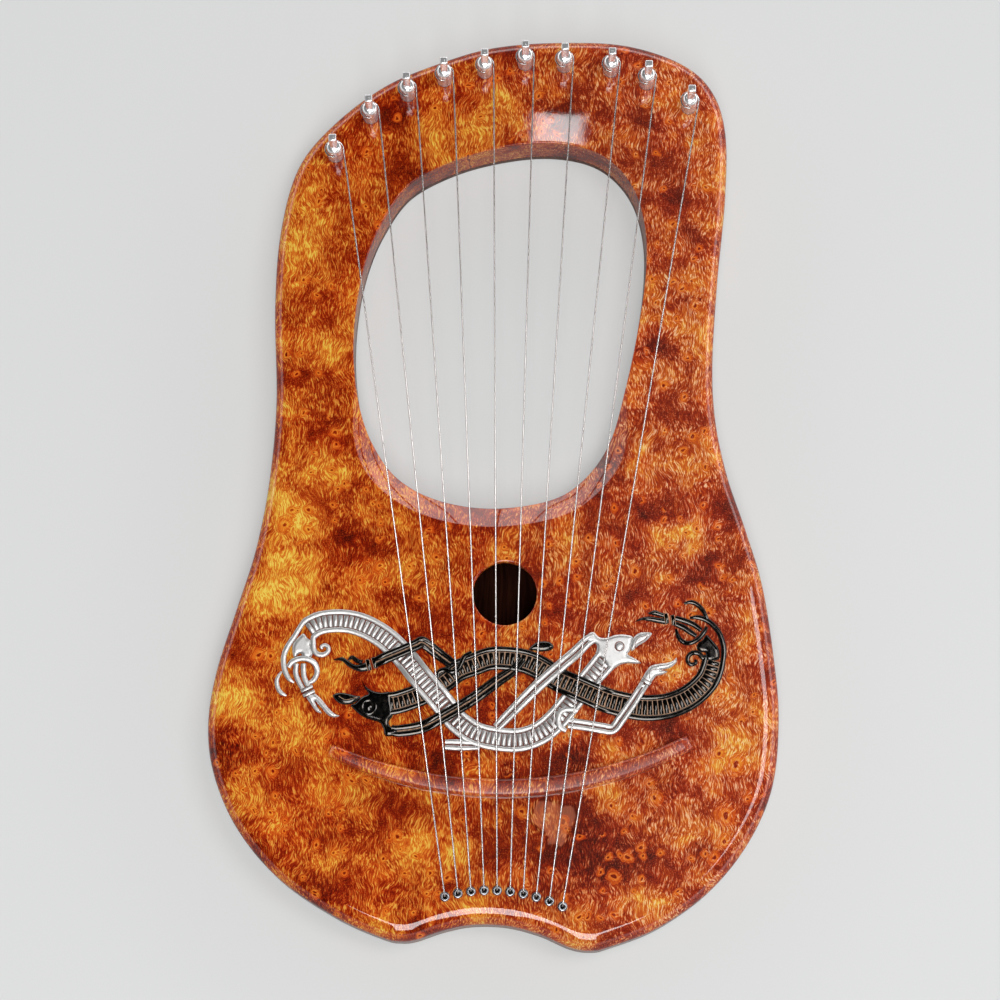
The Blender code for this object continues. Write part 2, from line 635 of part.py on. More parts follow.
def make_bridge(home):
    """Curved bar, widest in the middle, with a rounded top."""
    centre = bridge_centre()
    outer, inner = [], []
    for k in range(BRIDGE_STATIONS + 1):
        share = k / BRIDGE_STATIONS
        angle = -BRIDGE_LEFT_ANGLE + share * (BRIDGE_LEFT_ANGLE + BRIDGE_RIGHT_ANGLE)
        end = BRIDGE_LEFT_WIDTH if share < 0.5 else BRIDGE_RIGHT_WIDTH
        blend = (1 - 2 * share) ** 2
        half = (BRIDGE_WIDTH * (1 - blend) + end * blend) / 2
        ray = Vector((math.sin(angle), -math.cos(angle)))
        outer.append(centre + ray * (BRIDGE_RADIUS + half))
        inner.append(centre + ray * (BRIDGE_RADIUS - half))
    bar = plate("bridge", inner + outer[::-1], FACE_Z + GLUE_GAP, BRIDGE_TOP, home)
    round_rim(bar, BRIDGE_TOP, BRIDGE_ROUNDING, BRIDGE_ROUND_SEGMENTS)
    smooth(bar, 50)
    piece_material(bar, "burl")


def make_pin_pattern(home):
    """One tuning pin about its own axis, with the front face at height 0."""
    cone_top = PIN_BARREL_HEIGHT + PIN_CONE_HEIGHT
    profile = [
        (0, cone_top), (PIN_NECK_RADIUS, cone_top), (PIN_RADIUS, PIN_BARREL_HEIGHT),
        (PIN_RADIUS, PIN_TIP_CHAMFER - PIN_DEPTH),
        (PIN_RADIUS - PIN_TIP_CHAMFER, -PIN_DEPTH), (0, -PIN_DEPTH),
    ]
    pin = turned("pin_pattern", profile, PIN_SIDES, home)
    half = PIN_HEAD_WIDTH / 2
    low = (-half, -half, cone_top - PIN_CONE_HEIGHT)
    head = block("pin_head", low, (half, half, PIN_TOTAL_HEIGHT), home)
    bevel = head.modifiers.new("rounding", "BEVEL")
    bevel.width = PIN_HEAD_ROUNDING
    bevel.segments = 1
    boolean(pin, head, "UNION")
    reach = PIN_RADIUS + CUT_MARGIN
    hole = rod("pin_hole", 0, 0, -reach, reach, PIN_HOLE_RADIUS, PIN_HOLE_SIDES, home)
    hole.rotation_euler.x = math.pi / 2
    hole.location.z = PIN_HOLE_HEIGHT
    boolean(pin, hole, "DIFFERENCE")
    bpy.context.view_layer.update()
    settle(pin)
    for helper in (head, hole):
        bpy.data.objects.remove(helper, do_unlink=True)
    smooth(pin)
    return pin


def make_pins(home):
    """Ten pins that share one mesh, each with its origin on its own axis."""
    pattern = make_pin_pattern(home)
    for i, (x, y) in enumerate(pin_spots()):
        pin = bpy.data.objects.new(f"tuning_pin_{i + 1:02d}", pattern.data)
        pin.location = (x, y, FACE_Z)
        home.objects.link(pin)
    piece_material(pattern, "chrome")
    bpy.data.objects.remove(pattern, do_unlink=True)


def make_ferrules(home):
    """Flanged eyelets that carry the strings through the front."""
    top = FACE_Z + GLUE_GAP + FERRULE_FLANGE_HEIGHT
    bottom = FACE_Z - FERRULE_LENGTH
    flange_bottom = FACE_Z + GLUE_GAP
    rounding = FERRULE_FLANGE_HEIGHT / 2
    profile = [
        (FERRULE_BORE_RADIUS, bottom), (FERRULE_BORE_RADIUS, top - rounding),
        (FERRULE_BORE_RADIUS + rounding, top), (FERRULE_FLANGE_RADIUS - rounding, top),
        (FERRULE_FLANGE_RADIUS, top - rounding), (FERRULE_FLANGE_RADIUS, flange_bottom),
        (FERRULE_RADIUS, flange_bottom), (FERRULE_RADIUS, bottom),
        (FERRULE_BORE_RADIUS, bottom),
    ]
    for i, (x, y) in enumerate(foot_spots()):
        ferrule = turned(f"ferrule_{i + 1:02d}", profile, FERRULE_SIDES, home)
        ferrule.location = (x, y, 0)
        piece_material(ferrule, "chrome")


def make_ball_ends(home):
    """Small brass barrels that stop the strings at the back."""
    for i, (x, y) in enumerate(foot_spots()):
        ball = rod(f"ball_end_{i + 1:02d}", 0, 0, -BALL_LENGTH / 2, BALL_LENGTH / 2,
                   BALL_RADIUS, BALL_SIDES, home)
        ball.rotation_euler.y = math.pi / 2
        ball.location = (x, y, BALL_Z)
        smooth(ball)
        piece_material(ball, "brass")


def string_route(pin, foot):
    """Points of one string from its end at the pin's hole to its ball end."""
    wrap = PIN_RADIUS + FIT_GAP + STRING_RADIUS
    leave = FACE_Z + PIN_HOLE_HEIGHT - STRING_TURN * STRING_PITCH
    flank = Vector((pin[0] + wrap, pin[1], leave))
    count = round(STRING_TURN * STRING_COIL_POINTS)
    route = []
    for k in range(count):
        left = (count - k) / STRING_COIL_POINTS
        angle = 2 * math.pi * left
        route.append(Vector((pin[0] + wrap * math.cos(angle),
                             pin[1] + wrap * math.sin(angle),
                             leave + left * STRING_PITCH)))
    route.append(flank)
    top = Vector((foot[0], foot[1], FACE_Z + GLUE_GAP + FERRULE_FLANGE_HEIGHT + FIT_GAP))
    run = Vector((foot[0] - flank.x, foot[1] - flank.y)).normalized()
    entry = top + Vector((-run.x, -run.y, 1)) * FOOT_BEND_RADIUS
    rest = bridge_contact(flank, entry)
    for here, there in ((flank, rest), (rest, entry)):
        route += [here.lerp(there, share) for share in STRING_SPAN_SHARES]
        route.append(there)
    route.pop()
    for k in range(FOOT_BEND_POINTS + 1):
        angle = math.pi / 2 * k / FOOT_BEND_POINTS
        back = run * (FOOT_BEND_RADIUS * (1 - math.sin(angle)))
        drop = FOOT_BEND_RADIUS * math.cos(angle)
        route.append(top + Vector((-back.x, -back.y, drop)))
    route.append(Vector((foot[0], foot[1], FRAME_BOTTOM)))
    return route


def bridge_contact(start, end):
    """Point over the bridge's middle line, a clearance above its top."""
    centre = bridge_centre()
    line_start = Vector((start.x, start.y))
    line = Vector((end.x, end.y)) - line_start
    # The line leaves the bridge's circle at the larger root of a quadratic.
    away = line_start - centre
    a, b = line.dot(line), 2 * line.dot(away)
    c = away.dot(away) - BRIDGE_RADIUS ** 2
    spot = line_start + line * ((-b + math.sqrt(b * b - 4 * a * c)) / (2 * a))
    return Vector((spot.x, spot.y, BRIDGE_TOP + FIT_GAP + STRING_RADIUS))


def least_gap(route):
    """Smallest clear distance between parts of a wire over a third of a turn apart."""
    apart = STRING_COIL_POINTS // 3
    turn = route[:round(STRING_TURN * STRING_COIL_POINTS) + 2]
    spans = [(a - b).length for i, a in enumerate(turn) for b in turn[i + apart:]]
    return min(spans) - 2 * STRING_RADIUS


def make_strings(home):
    """Each string is one wire: round its pin, over the bridge, down to its ball end."""
    gaps = []
    for i, (pin, foot) in enumerate(zip(pin_spots(), foot_spots())):
        route = string_route(pin, foot)
        gaps.append(least_gap(route))
        string = tube(f"string_{i + 1:02d}", route, STRING_RADIUS, home)
        piece_material(string, "steel")
    print(f"least gap of a string to itself: {min(gaps) / MM:.2f} mm")


def main():
    clear_scene()
    home = collection("lyre_harp")
    cutters = collection("lyre_cutters")
    names = ("scratch", "soundboard", "body_frame", "back_plate", "tail_block")
    cuts = {name: collection(name + "_cuts", cutters) for name in names}
    outline = smooth_loop(OUTLINE, OUTLINE_STEPS)
    opening = smooth_loop(OPENING, OPENING_STEPS)
    make_cutters(outline, opening, cuts)
    make_body(outline, cuts, home)
    make_tail_block(outline, cuts, home)
    make_braces(outline, home)
    make_bridge(home)
    make_ornament(home)
    make_pins(home)
    make_ferrules(home)
    make_ball_ends(home)
    make_strings(home)


main()
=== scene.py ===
"""Ten-string lyre harp: fine surfaces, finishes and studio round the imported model.

The lyre lies on its back: +Z points out of the front face, +Y towards the tuning pins
and +X to the player's right.  Lengths are metres; flat patterns are in millimetres,
scaled once by MM.  Heights and the places of pins and ferrules come from the frame.
"""
import math

import bmesh
import bpy
from bpy.props import FloatProperty, FloatVectorProperty, IntProperty, PointerProperty
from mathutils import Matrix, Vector
from mathutils.geometry import delaunay_2d_cdt


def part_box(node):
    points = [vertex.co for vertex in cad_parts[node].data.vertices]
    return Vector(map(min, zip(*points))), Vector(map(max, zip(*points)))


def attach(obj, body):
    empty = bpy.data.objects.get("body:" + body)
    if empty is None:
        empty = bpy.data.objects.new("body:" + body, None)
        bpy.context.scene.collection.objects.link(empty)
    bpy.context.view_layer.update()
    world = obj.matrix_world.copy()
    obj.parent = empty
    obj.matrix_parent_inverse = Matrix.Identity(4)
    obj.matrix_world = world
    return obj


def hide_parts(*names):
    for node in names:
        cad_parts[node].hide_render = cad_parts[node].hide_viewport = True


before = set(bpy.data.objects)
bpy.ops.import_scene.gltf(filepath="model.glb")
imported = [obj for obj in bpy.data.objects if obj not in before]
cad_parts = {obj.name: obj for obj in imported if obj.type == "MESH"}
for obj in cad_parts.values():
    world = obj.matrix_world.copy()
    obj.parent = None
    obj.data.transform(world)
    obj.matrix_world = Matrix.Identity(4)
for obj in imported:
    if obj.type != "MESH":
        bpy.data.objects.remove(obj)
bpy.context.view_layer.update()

bl_info = {
    "name": "Lyre harp",
    "version": (1, 0, 0),
    "blender": (4, 5, 0),
    "location": "View3D > Sidebar > Lyre",
    "description": "Builds the fine surfaces, finishes and studio of a ten-string lyre harp",
    "category": "Add Mesh",
}

MM = 0.001
BODY = "lyre"
NUMBERS = [f"{i:02d}" for i in range(1, 11)]

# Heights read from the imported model
FRONT_LOW, FRONT_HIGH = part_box("soundboard")
FRAME_LOW, FRAME_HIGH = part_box("body_frame")
BACK_LOW, BACK_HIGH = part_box("back_plate")
BRIDGE_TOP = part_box("bridge")[1].z
FACE_Z = FRONT_HIGH.z
GLUE_GAP = 0.0003           # under the pieces that are glued on
FIT_GAP = 0.0003            # round the pieces in their bores

# Body outline, clockwise from the top, in millimetres
OUTLINE = [
    (0, 202.5), (30, 205), (60, 203.5), (85, 195), (99, 182), (105, 162), (104.5, 131), (100.5, 93),
    (97.8, 55), (98.7, 29), (103.5, 4), (111.5, -21), (118.5, -46), (123, -78), (124.7, -105),
    (121.5, -134), (111, -158), (94, -179), (71.5, -195), (50, -203.4), (42, -205), (33, -203.6),
    (20, -198), (6, -194.4), (-9, -193.9), (-22, -196.5), (-33, -200.2), (-40, -201), (-48, -199.4),
    (-68.5, -190.4), (-93, -174), (-111, -153), (-121.5, -130), (-124.7, -108), (-121.5, -84),
    (-113, -56), (-105, -29.5), (-99.5, 1), (-96.8, 37), (-98, 80), (-96, 115), (-88.5, 145),
    (-73, 165.5), (-50, 183.8), (-25, 195),
]

# Hand opening between the arms, clockwise from the top, in millimetres
OPENING = [
    (22, 155.7), (41, 153.3), (54, 146), (63.5, 133), (68, 115), (68, 95), (64.5, 70), (59, 44),
    (52, 19.5), (41, 3), (26, -7), (0, -11), (-24, -7.5), (-42, 2), (-53, 16.5), (-59.5, 34),
    (-62.3, 57), (-61.2, 80), (-57, 101), (-49.5, 119.5), (-38, 136), (-20, 146.5), (0, 152.8),
]
SCOOP_END_Y = 0.048         # the scoop fades out towards this line
SCOOP_FADE = 0.040
LEAST_SCOOP = 0.004         # share of the scoop that is left where it has faded out
SOUND_HOLE = Vector((0.005, -0.050))
CHAMBER_TOP_Y = -0.027
BRIDGE_LOW = Vector((0.0037, -0.1357))
BRIDGE_LEFT_ANGLE = math.radians(25.0)
BRIDGE_RIGHT_ANGLE = math.radians(27.5)
EDGE_MARGIN = 0.0004        # flat strip beside a rounded edge
BACK_RIM_RADIUS = 0.0015
HOLE_ROUNDING = 0.0008
EYELET_SEAT = (0.0017, 0.0001)  # radius and rounding of its bore
PIN_BORE_RADIUS = 0.0035
BALL_POCKET_RADIUS = 0.0025
CUT_MARGIN = 0.002          # a cutter goes this far past what it cuts

# Colour of the burl by tone: tone, red, green, blue
BURL_TONES = [
    (0.04, 0.045, 0.003, 0.001), (0.17, 0.13, 0.007, 0.001), (0.32, 0.26, 0.016, 0.001),
    (0.48, 0.46, 0.060, 0.006), (0.60, 0.60, 0.125, 0.012), (0.73, 0.72, 0.22, 0.024),
    (0.87, 0.79, 0.41, 0.040), (1.0, 0.84, 0.62, 0.10),
]

# Light and dark rings of an eye: place from rim 0 to middle 1, grey
EYE_RINGS = [
    (0.0, 0.50), (0.12, 0.60), (0.18, 0.34), (0.25, 0.56), (0.36, 0.50), (0.42, 0.36),
    (0.48, 0.54), (0.66, 0.66), (0.76, 0.58), (0.84, 0.06), (1.0, 0.16),
]

# Burl figure: bright and dark clouds as x, y, radius in millimetres, and tone shift
CLOUDS = [
    (-85, -16, 13, 0.9), (-75, 3, 12, 0.6), (-91, -44, 15, 0.8), (-100, -54, 11, 0.55),
    (-116, -94, 15, 0.8), (-108, -138, 9, 0.5), (3, 176, 11, 0.5), (-8, 158, 15, 0.45),
    (-15, 136, 8, 0.3), (91, 158, 7, 0.5), (-12, -166, 12, 0.4), (-6, -184, 10, 0.5),
    (38, -196, 10, 0.6), (77, -26, 11, 0.5), (70, -8, 8, 0.45), (111, -62, 9, 0.4),
    (-32, -138, 12, 0.4), (-84, 112, 14, 0.35), (-72, 60, 12, 0.35), (48, -118, 9, 0.55),
    (-52, -22, 12, 0.3), (-60, -168, 12, 0.3), (58, -100, 8, 0.4), (104, -122, 9, 0.35),
    (-43, 171, 8, -0.6), (-30, 144, 14, -0.5), (-115, -119, 11, -1.0), (-57, -26, 11, -0.5),
    (-25, -35, 9, -0.55), (3, -22, 7, -0.5), (-28, -120, 14, -0.5), (5, -129, 8, -0.8),
    (35, -123, 9, -1.1), (42, -165, 19, -0.9), (20, -178, 11, -0.7), (47, 10, 12, -0.9),
    (91, 110, 9, -0.7), (73, 61, 10, -0.8), (86, 81, 8, -0.5), (91, -40, 13, -0.5),
    (-76, -185, 12, -0.7), (91, -163, 10, -0.6), (69, -11, 9, -0.45), (-83, -3, 5, -0.5),
    (-73, -55, 12, -0.3), (75, -112, 9, -0.6), (61, -166, 9, -0.6), (-40, -60, 12, -0.4),
    (28, 165, 12, -1.0), (60, 175, 14, -0.35), (84, 135, 12, -0.25), (-100, -160, 9, -0.4),
    (-98, -26, 30, 0.45), (-90, 2, 26, 0.3), (-72, -70, 34, 0.2), (84, -22, 6, 0.9),
    (87, -31, 6, 0.9), (108, -110, 22, 0.3), (96, -145, 18, 0.25), (-8, 166, 26, 0.1),
    (98, 110, 44, 0.3), (-86, 120, 40, 0.3), (-112, -88, 22, 0.3), (-84, -120, 26, 0.2),
    (32, -146, 22, -0.3), (-74, 62, 34, 0.2),
]

# Paler inclusion with a dark border: x, y, radius in millimetres
INCLUSION = (26.0, -149.5, 10.0)

# Eyes of the burl: x, y, radius in millimetres
EYES = [
    (-88.6, -13.4, 3.4), (-81.6, -12.5, 3.2), (-81.6, -21, 3.4), (-92, -19.5, 4.4),
    (-103.2, -76.8, 4.2), (-97, -77.6, 3.4), (105, -125, 5.8), (97.6, -120.6, 3.6),
    (100.4, -147, 6.2), (99.6, -158.4, 4.0), (95, -166.2, 4.2), (110, -140, 3.0), (50.8, -142.6, 3.4),
    (67.8, -133, 3.0), (70, -139.8, 4.6), (64, -161, 3.6), (57.8, -165.2, 3.8), (51.8, -173.4, 4.2),
    (36.6, -190.8, 3.2), (31, -183, 2.8), (84, 88, 3.0), (90, 80, 3.2), (82, 74, 2.6), (76, 44, 3.2),
    (84, 38, 2.8), (86, 56, 2.6), (95, 134, 2.8), (80, 118, 2.6), (56, 178, 2.8), (20, 178, 3.0),
    (-6, 168, 2.6), (-26, 172, 2.8), (-58, 152, 3.0), (-78, 128, 2.8), (-84, 92, 2.6), (-92, 58, 3.0),
    (-70, 22, 3.0), (-50, -38, 3.4), (-20, -20, 2.8), (36, -36, 3.0), (62, -40, 3.2), (98, -20, 2.8),
    (82, -17, 2.2), (85, -23, 2.2), (87.5, -30, 2.4), (83, -33, 2.0), (94, -58, 3.4),
    (-62, -132, 3.2), (-96, -128, 3.6), (-42, -156, 3.4), (-20, -174, 3.0), (-76, -160, 3.0),
    (12, -146, 3.2), (30, -150, 4.0), (88, 20, 3.0), (-4, -60, 2.6), (-36, -4, 2.4),
]

# Interlace ornament.  A band's point is x, y and width in millimetres, and its lift where it
# leaves the face: 1 bridges the other beast.  A shape is a closed outline in millimetres.
SILVER_SPINE = [
    (-80.9, -66.2, 10.2), (-75.9, -63.2, 10.2), (-66.3, -62.3, 10.2), (-56.7, -64.5, 10.4),
    (-47, -70.2, 10.4), (-38.6, -78.6, 10.6), (-32, -87, 10.6, 1), (-23.6, -96.8, 10.4, 1),
    (-19.8, -101.4, 10.4), (-15.4, -106.7, 10.4), (-7.6, -111.9, 10.4), (2, -114.2, 10.4),
    (11.5, -114.5, 10.4), (20.2, -111.5, 10.4), (27.2, -105.8, 10.4), (33.3, -98.4, 10),
    (41.2, -88.7, 9.6), (45.4, -83.8, 10), (48.6, -80, 10.4),
]
SILVER_LIMBS = [
    [(44.4, -69.4, 4.4), (40.9, -71.4, 5), (36.4, -75.9, 5.4), (30.2, -81.4, 5.4, 1),
        (19.8, -90.6, 5.4, 1), (13, -97.2, 5.2), (5, -105.4, 4.6), (1.4, -109.2, 4.2)],
    [(32.6, -107.2, 4.8), (40, -108.2, 4.8), (47, -109.4, 4.8), (51.8, -109.8, 4.6),
        (55.4, -105.6, 4.6, 1), (61, -97.6, 4.4, 1), (63.4, -93.8, 4.2, 1), (66, -89.6, 4.2)],
    [(-21, -116.6, 4.6), (-13.7, -116.8, 5), (-6, -117.2, 3.4)],
]
SILVER_TENDRILS = [
    [(-89.4, -82.8, 2.2, 0.3), (-87.7, -80.4, 2.4, 0.5), (-84.3, -79, 2.4, 0.6),
        (-80.8, -79.3, 2.4, 0.6), (-78, -81.1, 2.4, 0.4), (-76.9, -83.9, 2.3), (-77.4, -86.8, 2.2),
        (-79, -88.9, 2), (-81, -89.6, 1.4)],
    [(-86, -81.2, 2.3), (-86.2, -85.3, 2.3), (-84.8, -89.1, 2.3), (-82.6, -92.9, 2.2)],
    [(-82.9, -81.2, 2.3), (-82.7, -86, 2.3), (-81.6, -89.3, 2.3), (-80, -92, 2.2)],
    [(-92.4, -84.6, 0.8), (-94.3, -88.1, 1.8), (-94, -91.6, 2), (-92.4, -94, 1.9),
        (-90.2, -95.2, 0.9)],
    [(36.6, -101.8, 2.4), (33.4, -101.2, 2.4, 0.2), (29.8, -102, 2.4, 0.3), (28.2, -105.2, 2.4, 0.3),
        (28.8, -108.8, 2.4, 0.3), (31.6, -110.6, 2.2, 0.2)],
]
SILVER_OUTER = [
    (-87.0, -69.1, 2.3), (-89.6, -73, 2.4), (-91.3, -76.9, 2.4), (-91.6, -80.4, 2.4),
    (-90.9, -84.2, 2.4), (-89.2, -87.7, 2), (-86.9, -89.5, 0.8),
]
SILVER_SPIRAL = [
    (-78.7, -72.6, 2.4), (-78.4, -75.1, 2.4), (-76.7, -77, 2.3), (-74.2, -77.2, 2.2),
    (-72.3, -75.9, 2), (-72.2, -74, 1.9), (-73.6, -73, 1.7), (-75.2, -73.7, 1.4), (-74.7, -74.7, 1),
]
SILVER_SHAPES = {
    "hip": [(-87.8, -73), (-86.1, -70.2), (-84.4, -68.6), (-82.9, -67.8), (-81.3, -69.9),
        (-79.6, -71.1), (-79.8, -73.4), (-79, -75.8), (-79.3, -77.9), (-81.2, -78.8), (-83.3, -78),
        (-84, -76.6), (-85.4, -77.2), (-86.4, -78.6), (-87.6, -77.2)],
    "tassel": [(-82.2, -93.4), (-80.6, -92.6), (-78, -94), (-75.1, -96.5), (-72.2, -100),
        (-69.4, -102.8), (-67, -104), (-69.4, -104.7), (-72.2, -103.5), (-75, -100.3), (-77.8, -97.4),
        (-76.7, -100), (-74.6, -102.8), (-77.1, -102.1), (-79.5, -98.9), (-81.4, -96)],
    "head": [(40.3, -70.7), (41.6, -67.9), (43.8, -67.2), (45.4, -68.8), (47.2, -69.8), (49.9, -69.6),
        (52.7, -68.6), (56, -68.2), (59.4, -68.7), (60.9, -69.6), (60.4, -71.7), (60, -74),
        (59.4, -75.7), (58.6, -76.9), (60.4, -78.1), (62.9, -79.6), (64.4, -80.9), (61.6, -81.1),
        (58.4, -80.9), (55.6, -81.5), (53.2, -82.9), (51.6, -84.2), (49.6, -82.4), (48.4, -80),
        (46.6, -78.2), (44.9, -78.4), (44.6, -76.4), (45.1, -74.6), (45, -72.9), (44, -72.1),
        (42.7, -72.1)],
    "ear": [(60.4, -75.6), (60, -72.3), (61.2, -69.6), (63.6, -67.7), (66.4, -67.2), (69.2, -67.7),
        (68, -69.8), (65.7, -71.8), (63.1, -73.3)],
    "hand": [(64.4, -88.6), (65.4, -86.4), (66.6, -84.4), (68.6, -82.1), (71.9, -81.2), (75.3, -80.8),
        (78.2, -79.9), (79.8, -78.6), (80, -80.2), (78.1, -82.3), (75.6, -83.4), (73, -83.9),
        (76, -84.5), (73.7, -85.9), (71, -86.6), (69.3, -88.6), (67.8, -90.4), (66, -90)],
}
SILVER_LINES = [
    [(61.9, -74.6), (62, -71.9), (63.4, -69.9), (65.4, -69.1), (67.2, -68.9)],
    [(67.2, -68.9), (66.4, -70.2), (64.2, -71.6), (62.4, -72.6)],
    [(68.2, -88), (67.9, -85.2), (69.6, -83.9), (72.6, -83.6)],
]
SILVER_CUFFS = [
    [(63.4, -89.9), (66.9, -92)], [(64.6, -88), (68.4, -90.3)],
    [(-83.7, -93.4), (-78.8, -91.1)], [(-82.8, -95.4), (-77.9, -93.2)],
]
SILVER_EYE = (55, -73.6, 1.75)
BLACK_SPINE = [
    (-45.6, -98.8, 10), (-41, -98, 10), (-34.2, -95.7, 10), (-27.7, -92.7, 10), (-21.1, -88.7, 9.6),
    (-15.5, -84.4, 9.6), (-8.5, -81.5, 10), (-0.2, -78.8, 10.2), (11.1, -79.5, 10.4),
    (18.6, -82.1, 10.6), (25.1, -86.1, 10.6), (28.4, -88.2, 10.6), (34, -90.8, 10.6, 1),
    (45, -95.7, 10.8, 1), (51, -97.8, 11), (59, -99.7, 11.2), (67.3, -100.6, 11.4),
    (76.8, -99.5, 11.3), (86, -95.3, 11), (93.4, -88, 10.6), (96.2, -79.8, 10.2),
]
BLACK_LIMBS = [
    [(-44.4, -110.4, 4.6), (-40.6, -110.6, 5.2), (-32, -109.2, 5.4), (-24.6, -106, 5.4, 1),
        (-11.4, -98.4, 5.4, 1), (-5, -93.8, 5.4), (2, -88.6, 5.2), (8.1, -84.4, 4.6),
        (13, -79.4, 3.4)],
    [(-52.6, -81.2, 4.4), (-47.6, -79, 5, 1), (-40, -75.8, 5, 1), (-33.6, -73, 5, 1),
        (-31.2, -71.9, 5.2, 1), (-28.4, -73.5, 5, 0.4), (-22.8, -77.8, 5), (-17.4, -81.8, 4.6)],
]
BLACK_TENDRILS = [
    [(-9.4, -76.4, 2, 0.4), (-12.6, -78.2, 2.2, 0.5), (-14.2, -81.4, 2.2, 0.5),
        (-15.6, -83.6, 2.3, 0.5), (-18.2, -84.8, 2.2, 0.5), (-21.3, -83.9, 2.2, 0.4),
        (-23.7, -84.9, 2.2, 0.2), (-24.2, -87.4, 1.6)],
    [(79.8, -66, 1.2), (80.9, -69.6, 2), (83.3, -71.8, 2), (86.4, -72, 2, 0.4), (89.6, -70.3, 2, 0.6),
        (91.9, -67.6, 1.9, 0.6), (93.2, -65, 1.4, 0.3)],
    [(79.4, -63.6, 2.2), (83.1, -65.2, 2.6), (86.2, -67.4, 2.4), (88.6, -69, 1.8)],
    [(79.6, -61, 2.2), (83.8, -62.3, 2.4), (87.6, -64, 2.4), (90.8, -66.4, 2)],
    [(93.6, -61.6, 1.4), (91.9, -58.1, 2), (89.6, -55.4, 2), (86.6, -54, 1.9), (83.4, -54.6, 0.9)],
    [(-63.3, -79.6, 0.8), (-61.7, -78.4, 1.8), (-59.6, -79.8, 2), (-57.2, -80.7, 2)],
]
BLACK_OUTER = [
    (100.6, -76.2, 2.4), (100.2, -72.3, 2.4), (98.6, -67.6, 2.4), (95.7, -63.9, 2.3),
    (92.5, -61.7, 2.2), (89.2, -60.7, 2), (85.9, -61, 1),
]
BLACK_SPIRAL = [
    (91.2, -78.4, 2.2), (89.6, -76.7, 2.2), (87.3, -76.3, 2.1), (85.1, -77.8, 2), (84.8, -80.2, 1.9),
    (86.4, -81.5, 1.8), (88.3, -80.8, 1.6), (88.1, -79.4, 1.2),
]
BLACK_SHAPES = {
    "head": [(-57.3, -88.4), (-55.8, -90.9), (-52.9, -92.9), (-49.1, -93.8), (-45, -93.7),
        (-44.2, -97.9), (-43.5, -102.1), (-44, -104.5), (-45.3, -106.1), (-45.3, -108),
        (-43.4, -109.2), (-41.7, -110.4), (-42.9, -112.5), (-46.9, -112.8), (-47.8, -109.7),
        (-49.3, -107.1), (-52.1, -106.1), (-55.6, -105), (-58.3, -103.3), (-60.6, -101.2),
        (-62.2, -99.4), (-60, -98.3), (-58.3, -96.5), (-56.3, -95.2), (-54.4, -94.3), (-56, -92)],
    "ear": [(-70, -95.2), (-67.4, -93.9), (-63.8, -94.2), (-60.5, -95.1), (-57.9, -95.6),
        (-60.3, -98.2), (-63.8, -99.1), (-67.4, -98.3)],
    "hip": [(91.4, -70.6), (93.1, -68.4), (94.8, -70), (96.8, -72.3), (98.4, -74.7), (98.6, -78.8),
        (95.6, -80), (92.8, -79.4), (92.5, -76.4), (90.4, -76), (88.7, -74.4), (89.4, -72)],
    "tassel": [(62.1, -62.6), (64.4, -60.9), (68.5, -60.3), (72.5, -60.8), (76.6, -61.6), (76, -63.6),
        (73.8, -63.6), (69.8, -62.8), (65.4, -62)],
    "second_tassel": [(67.6, -58.9), (70.5, -57.5), (73.4, -58.5), (76.2, -59.6), (76, -61.2),
        (72.5, -60.4), (69.8, -59.7)],
    "hand": [(-69.9, -79.5), (-66.2, -78.2), (-63.3, -79.8), (-60.3, -81.6), (-57, -81),
        (-54.2, -80.2), (-53.4, -83.5), (-57.1, -84.7), (-60.4, -84), (-63.6, -82.2), (-66.2, -80)],
    "leaf": [(15.5, -74.9), (17.9, -72.2), (20.6, -71.3), (24.2, -71.5), (26.3, -73.4), (24.9, -75.2),
        (20.9, -75.8), (18.5, -75.4)],
}
BLACK_LINES = [
    [(-67.4, -95.4), (-64.6, -97), (-61.5, -96.6), (-59.2, -95.8)],
]
BLACK_CUFFS = [
    [(-55.1, -79.4), (-53.9, -84.1)], [(-52.6, -78.5), (-51.2, -83.1)],
    [(75.3, -59.1), (76, -63.6)], [(78.2, -59.8), (78.9, -64.2)],
]
BLACK_EYE = (-54.3, -100.1, 3.6)


def millimetres(points):
    return [Vector(p) * MM for p in points]


def spline_point(p0, p1, p2, p3, t):
    """Catmull-Rom point between p1 and p2."""
    return 0.5 * (2 * p1 + (p2 - p0) * t + (2 * p0 - 5 * p1 + 4 * p2 - p3) * t ** 2
                  + (3 * p1 - p0 - 3 * p2 + p3) * t ** 3)


def smooth_loop(points, steps):
    """Closed smooth curve through the points."""
    count = len(points)
    loop = []
    for i in range(count):
        near = [points[(i + k) % count] for k in (-1, 0, 1, 2)]
        loop += [spline_point(*near, step / steps) for step in range(steps)]
    return loop


def smooth_path(points, steps):
    """Open smooth curve through the points, its two ends included."""
    spots = [points[0]] + list(points) + [points[-1]]
    path = []
    for i in range(len(points) - 1):
        path += [spline_point(*spots[i:i + 4], step / steps) for step in range(steps)]
    return path + [points[-1]]


def outward(loop, i):
    """Unit normal of a clockwise loop at point i, away from its middle."""
    along = loop[(i + 1) % len(loop)] - loop[i - 1]
    return Vector((-along.y, along.x)).normalized()


def offset(loop, distance):
    return [p + outward(loop, i) * distance for i, p in enumerate(loop)]


def below(loop, height):
    """The part of a loop that lies below a horizontal line."""
    kept = []
    for i, p in enumerate(loop):
        before = loop[i - 1]
        if (before.y < height) != (p.y < height):
            kept.append(before.lerp(p, (height - before.y) / (p.y - before.y)))
        if p.y < height:
            kept.append(p)
    return kept


def circle(middle, radius, sides):
    """Clockwise circle."""
    turns = [-2 * math.pi * k / sides for k in range(sides)]
    return [middle + radius * Vector((math.cos(a), math.sin(a))) for a in turns]


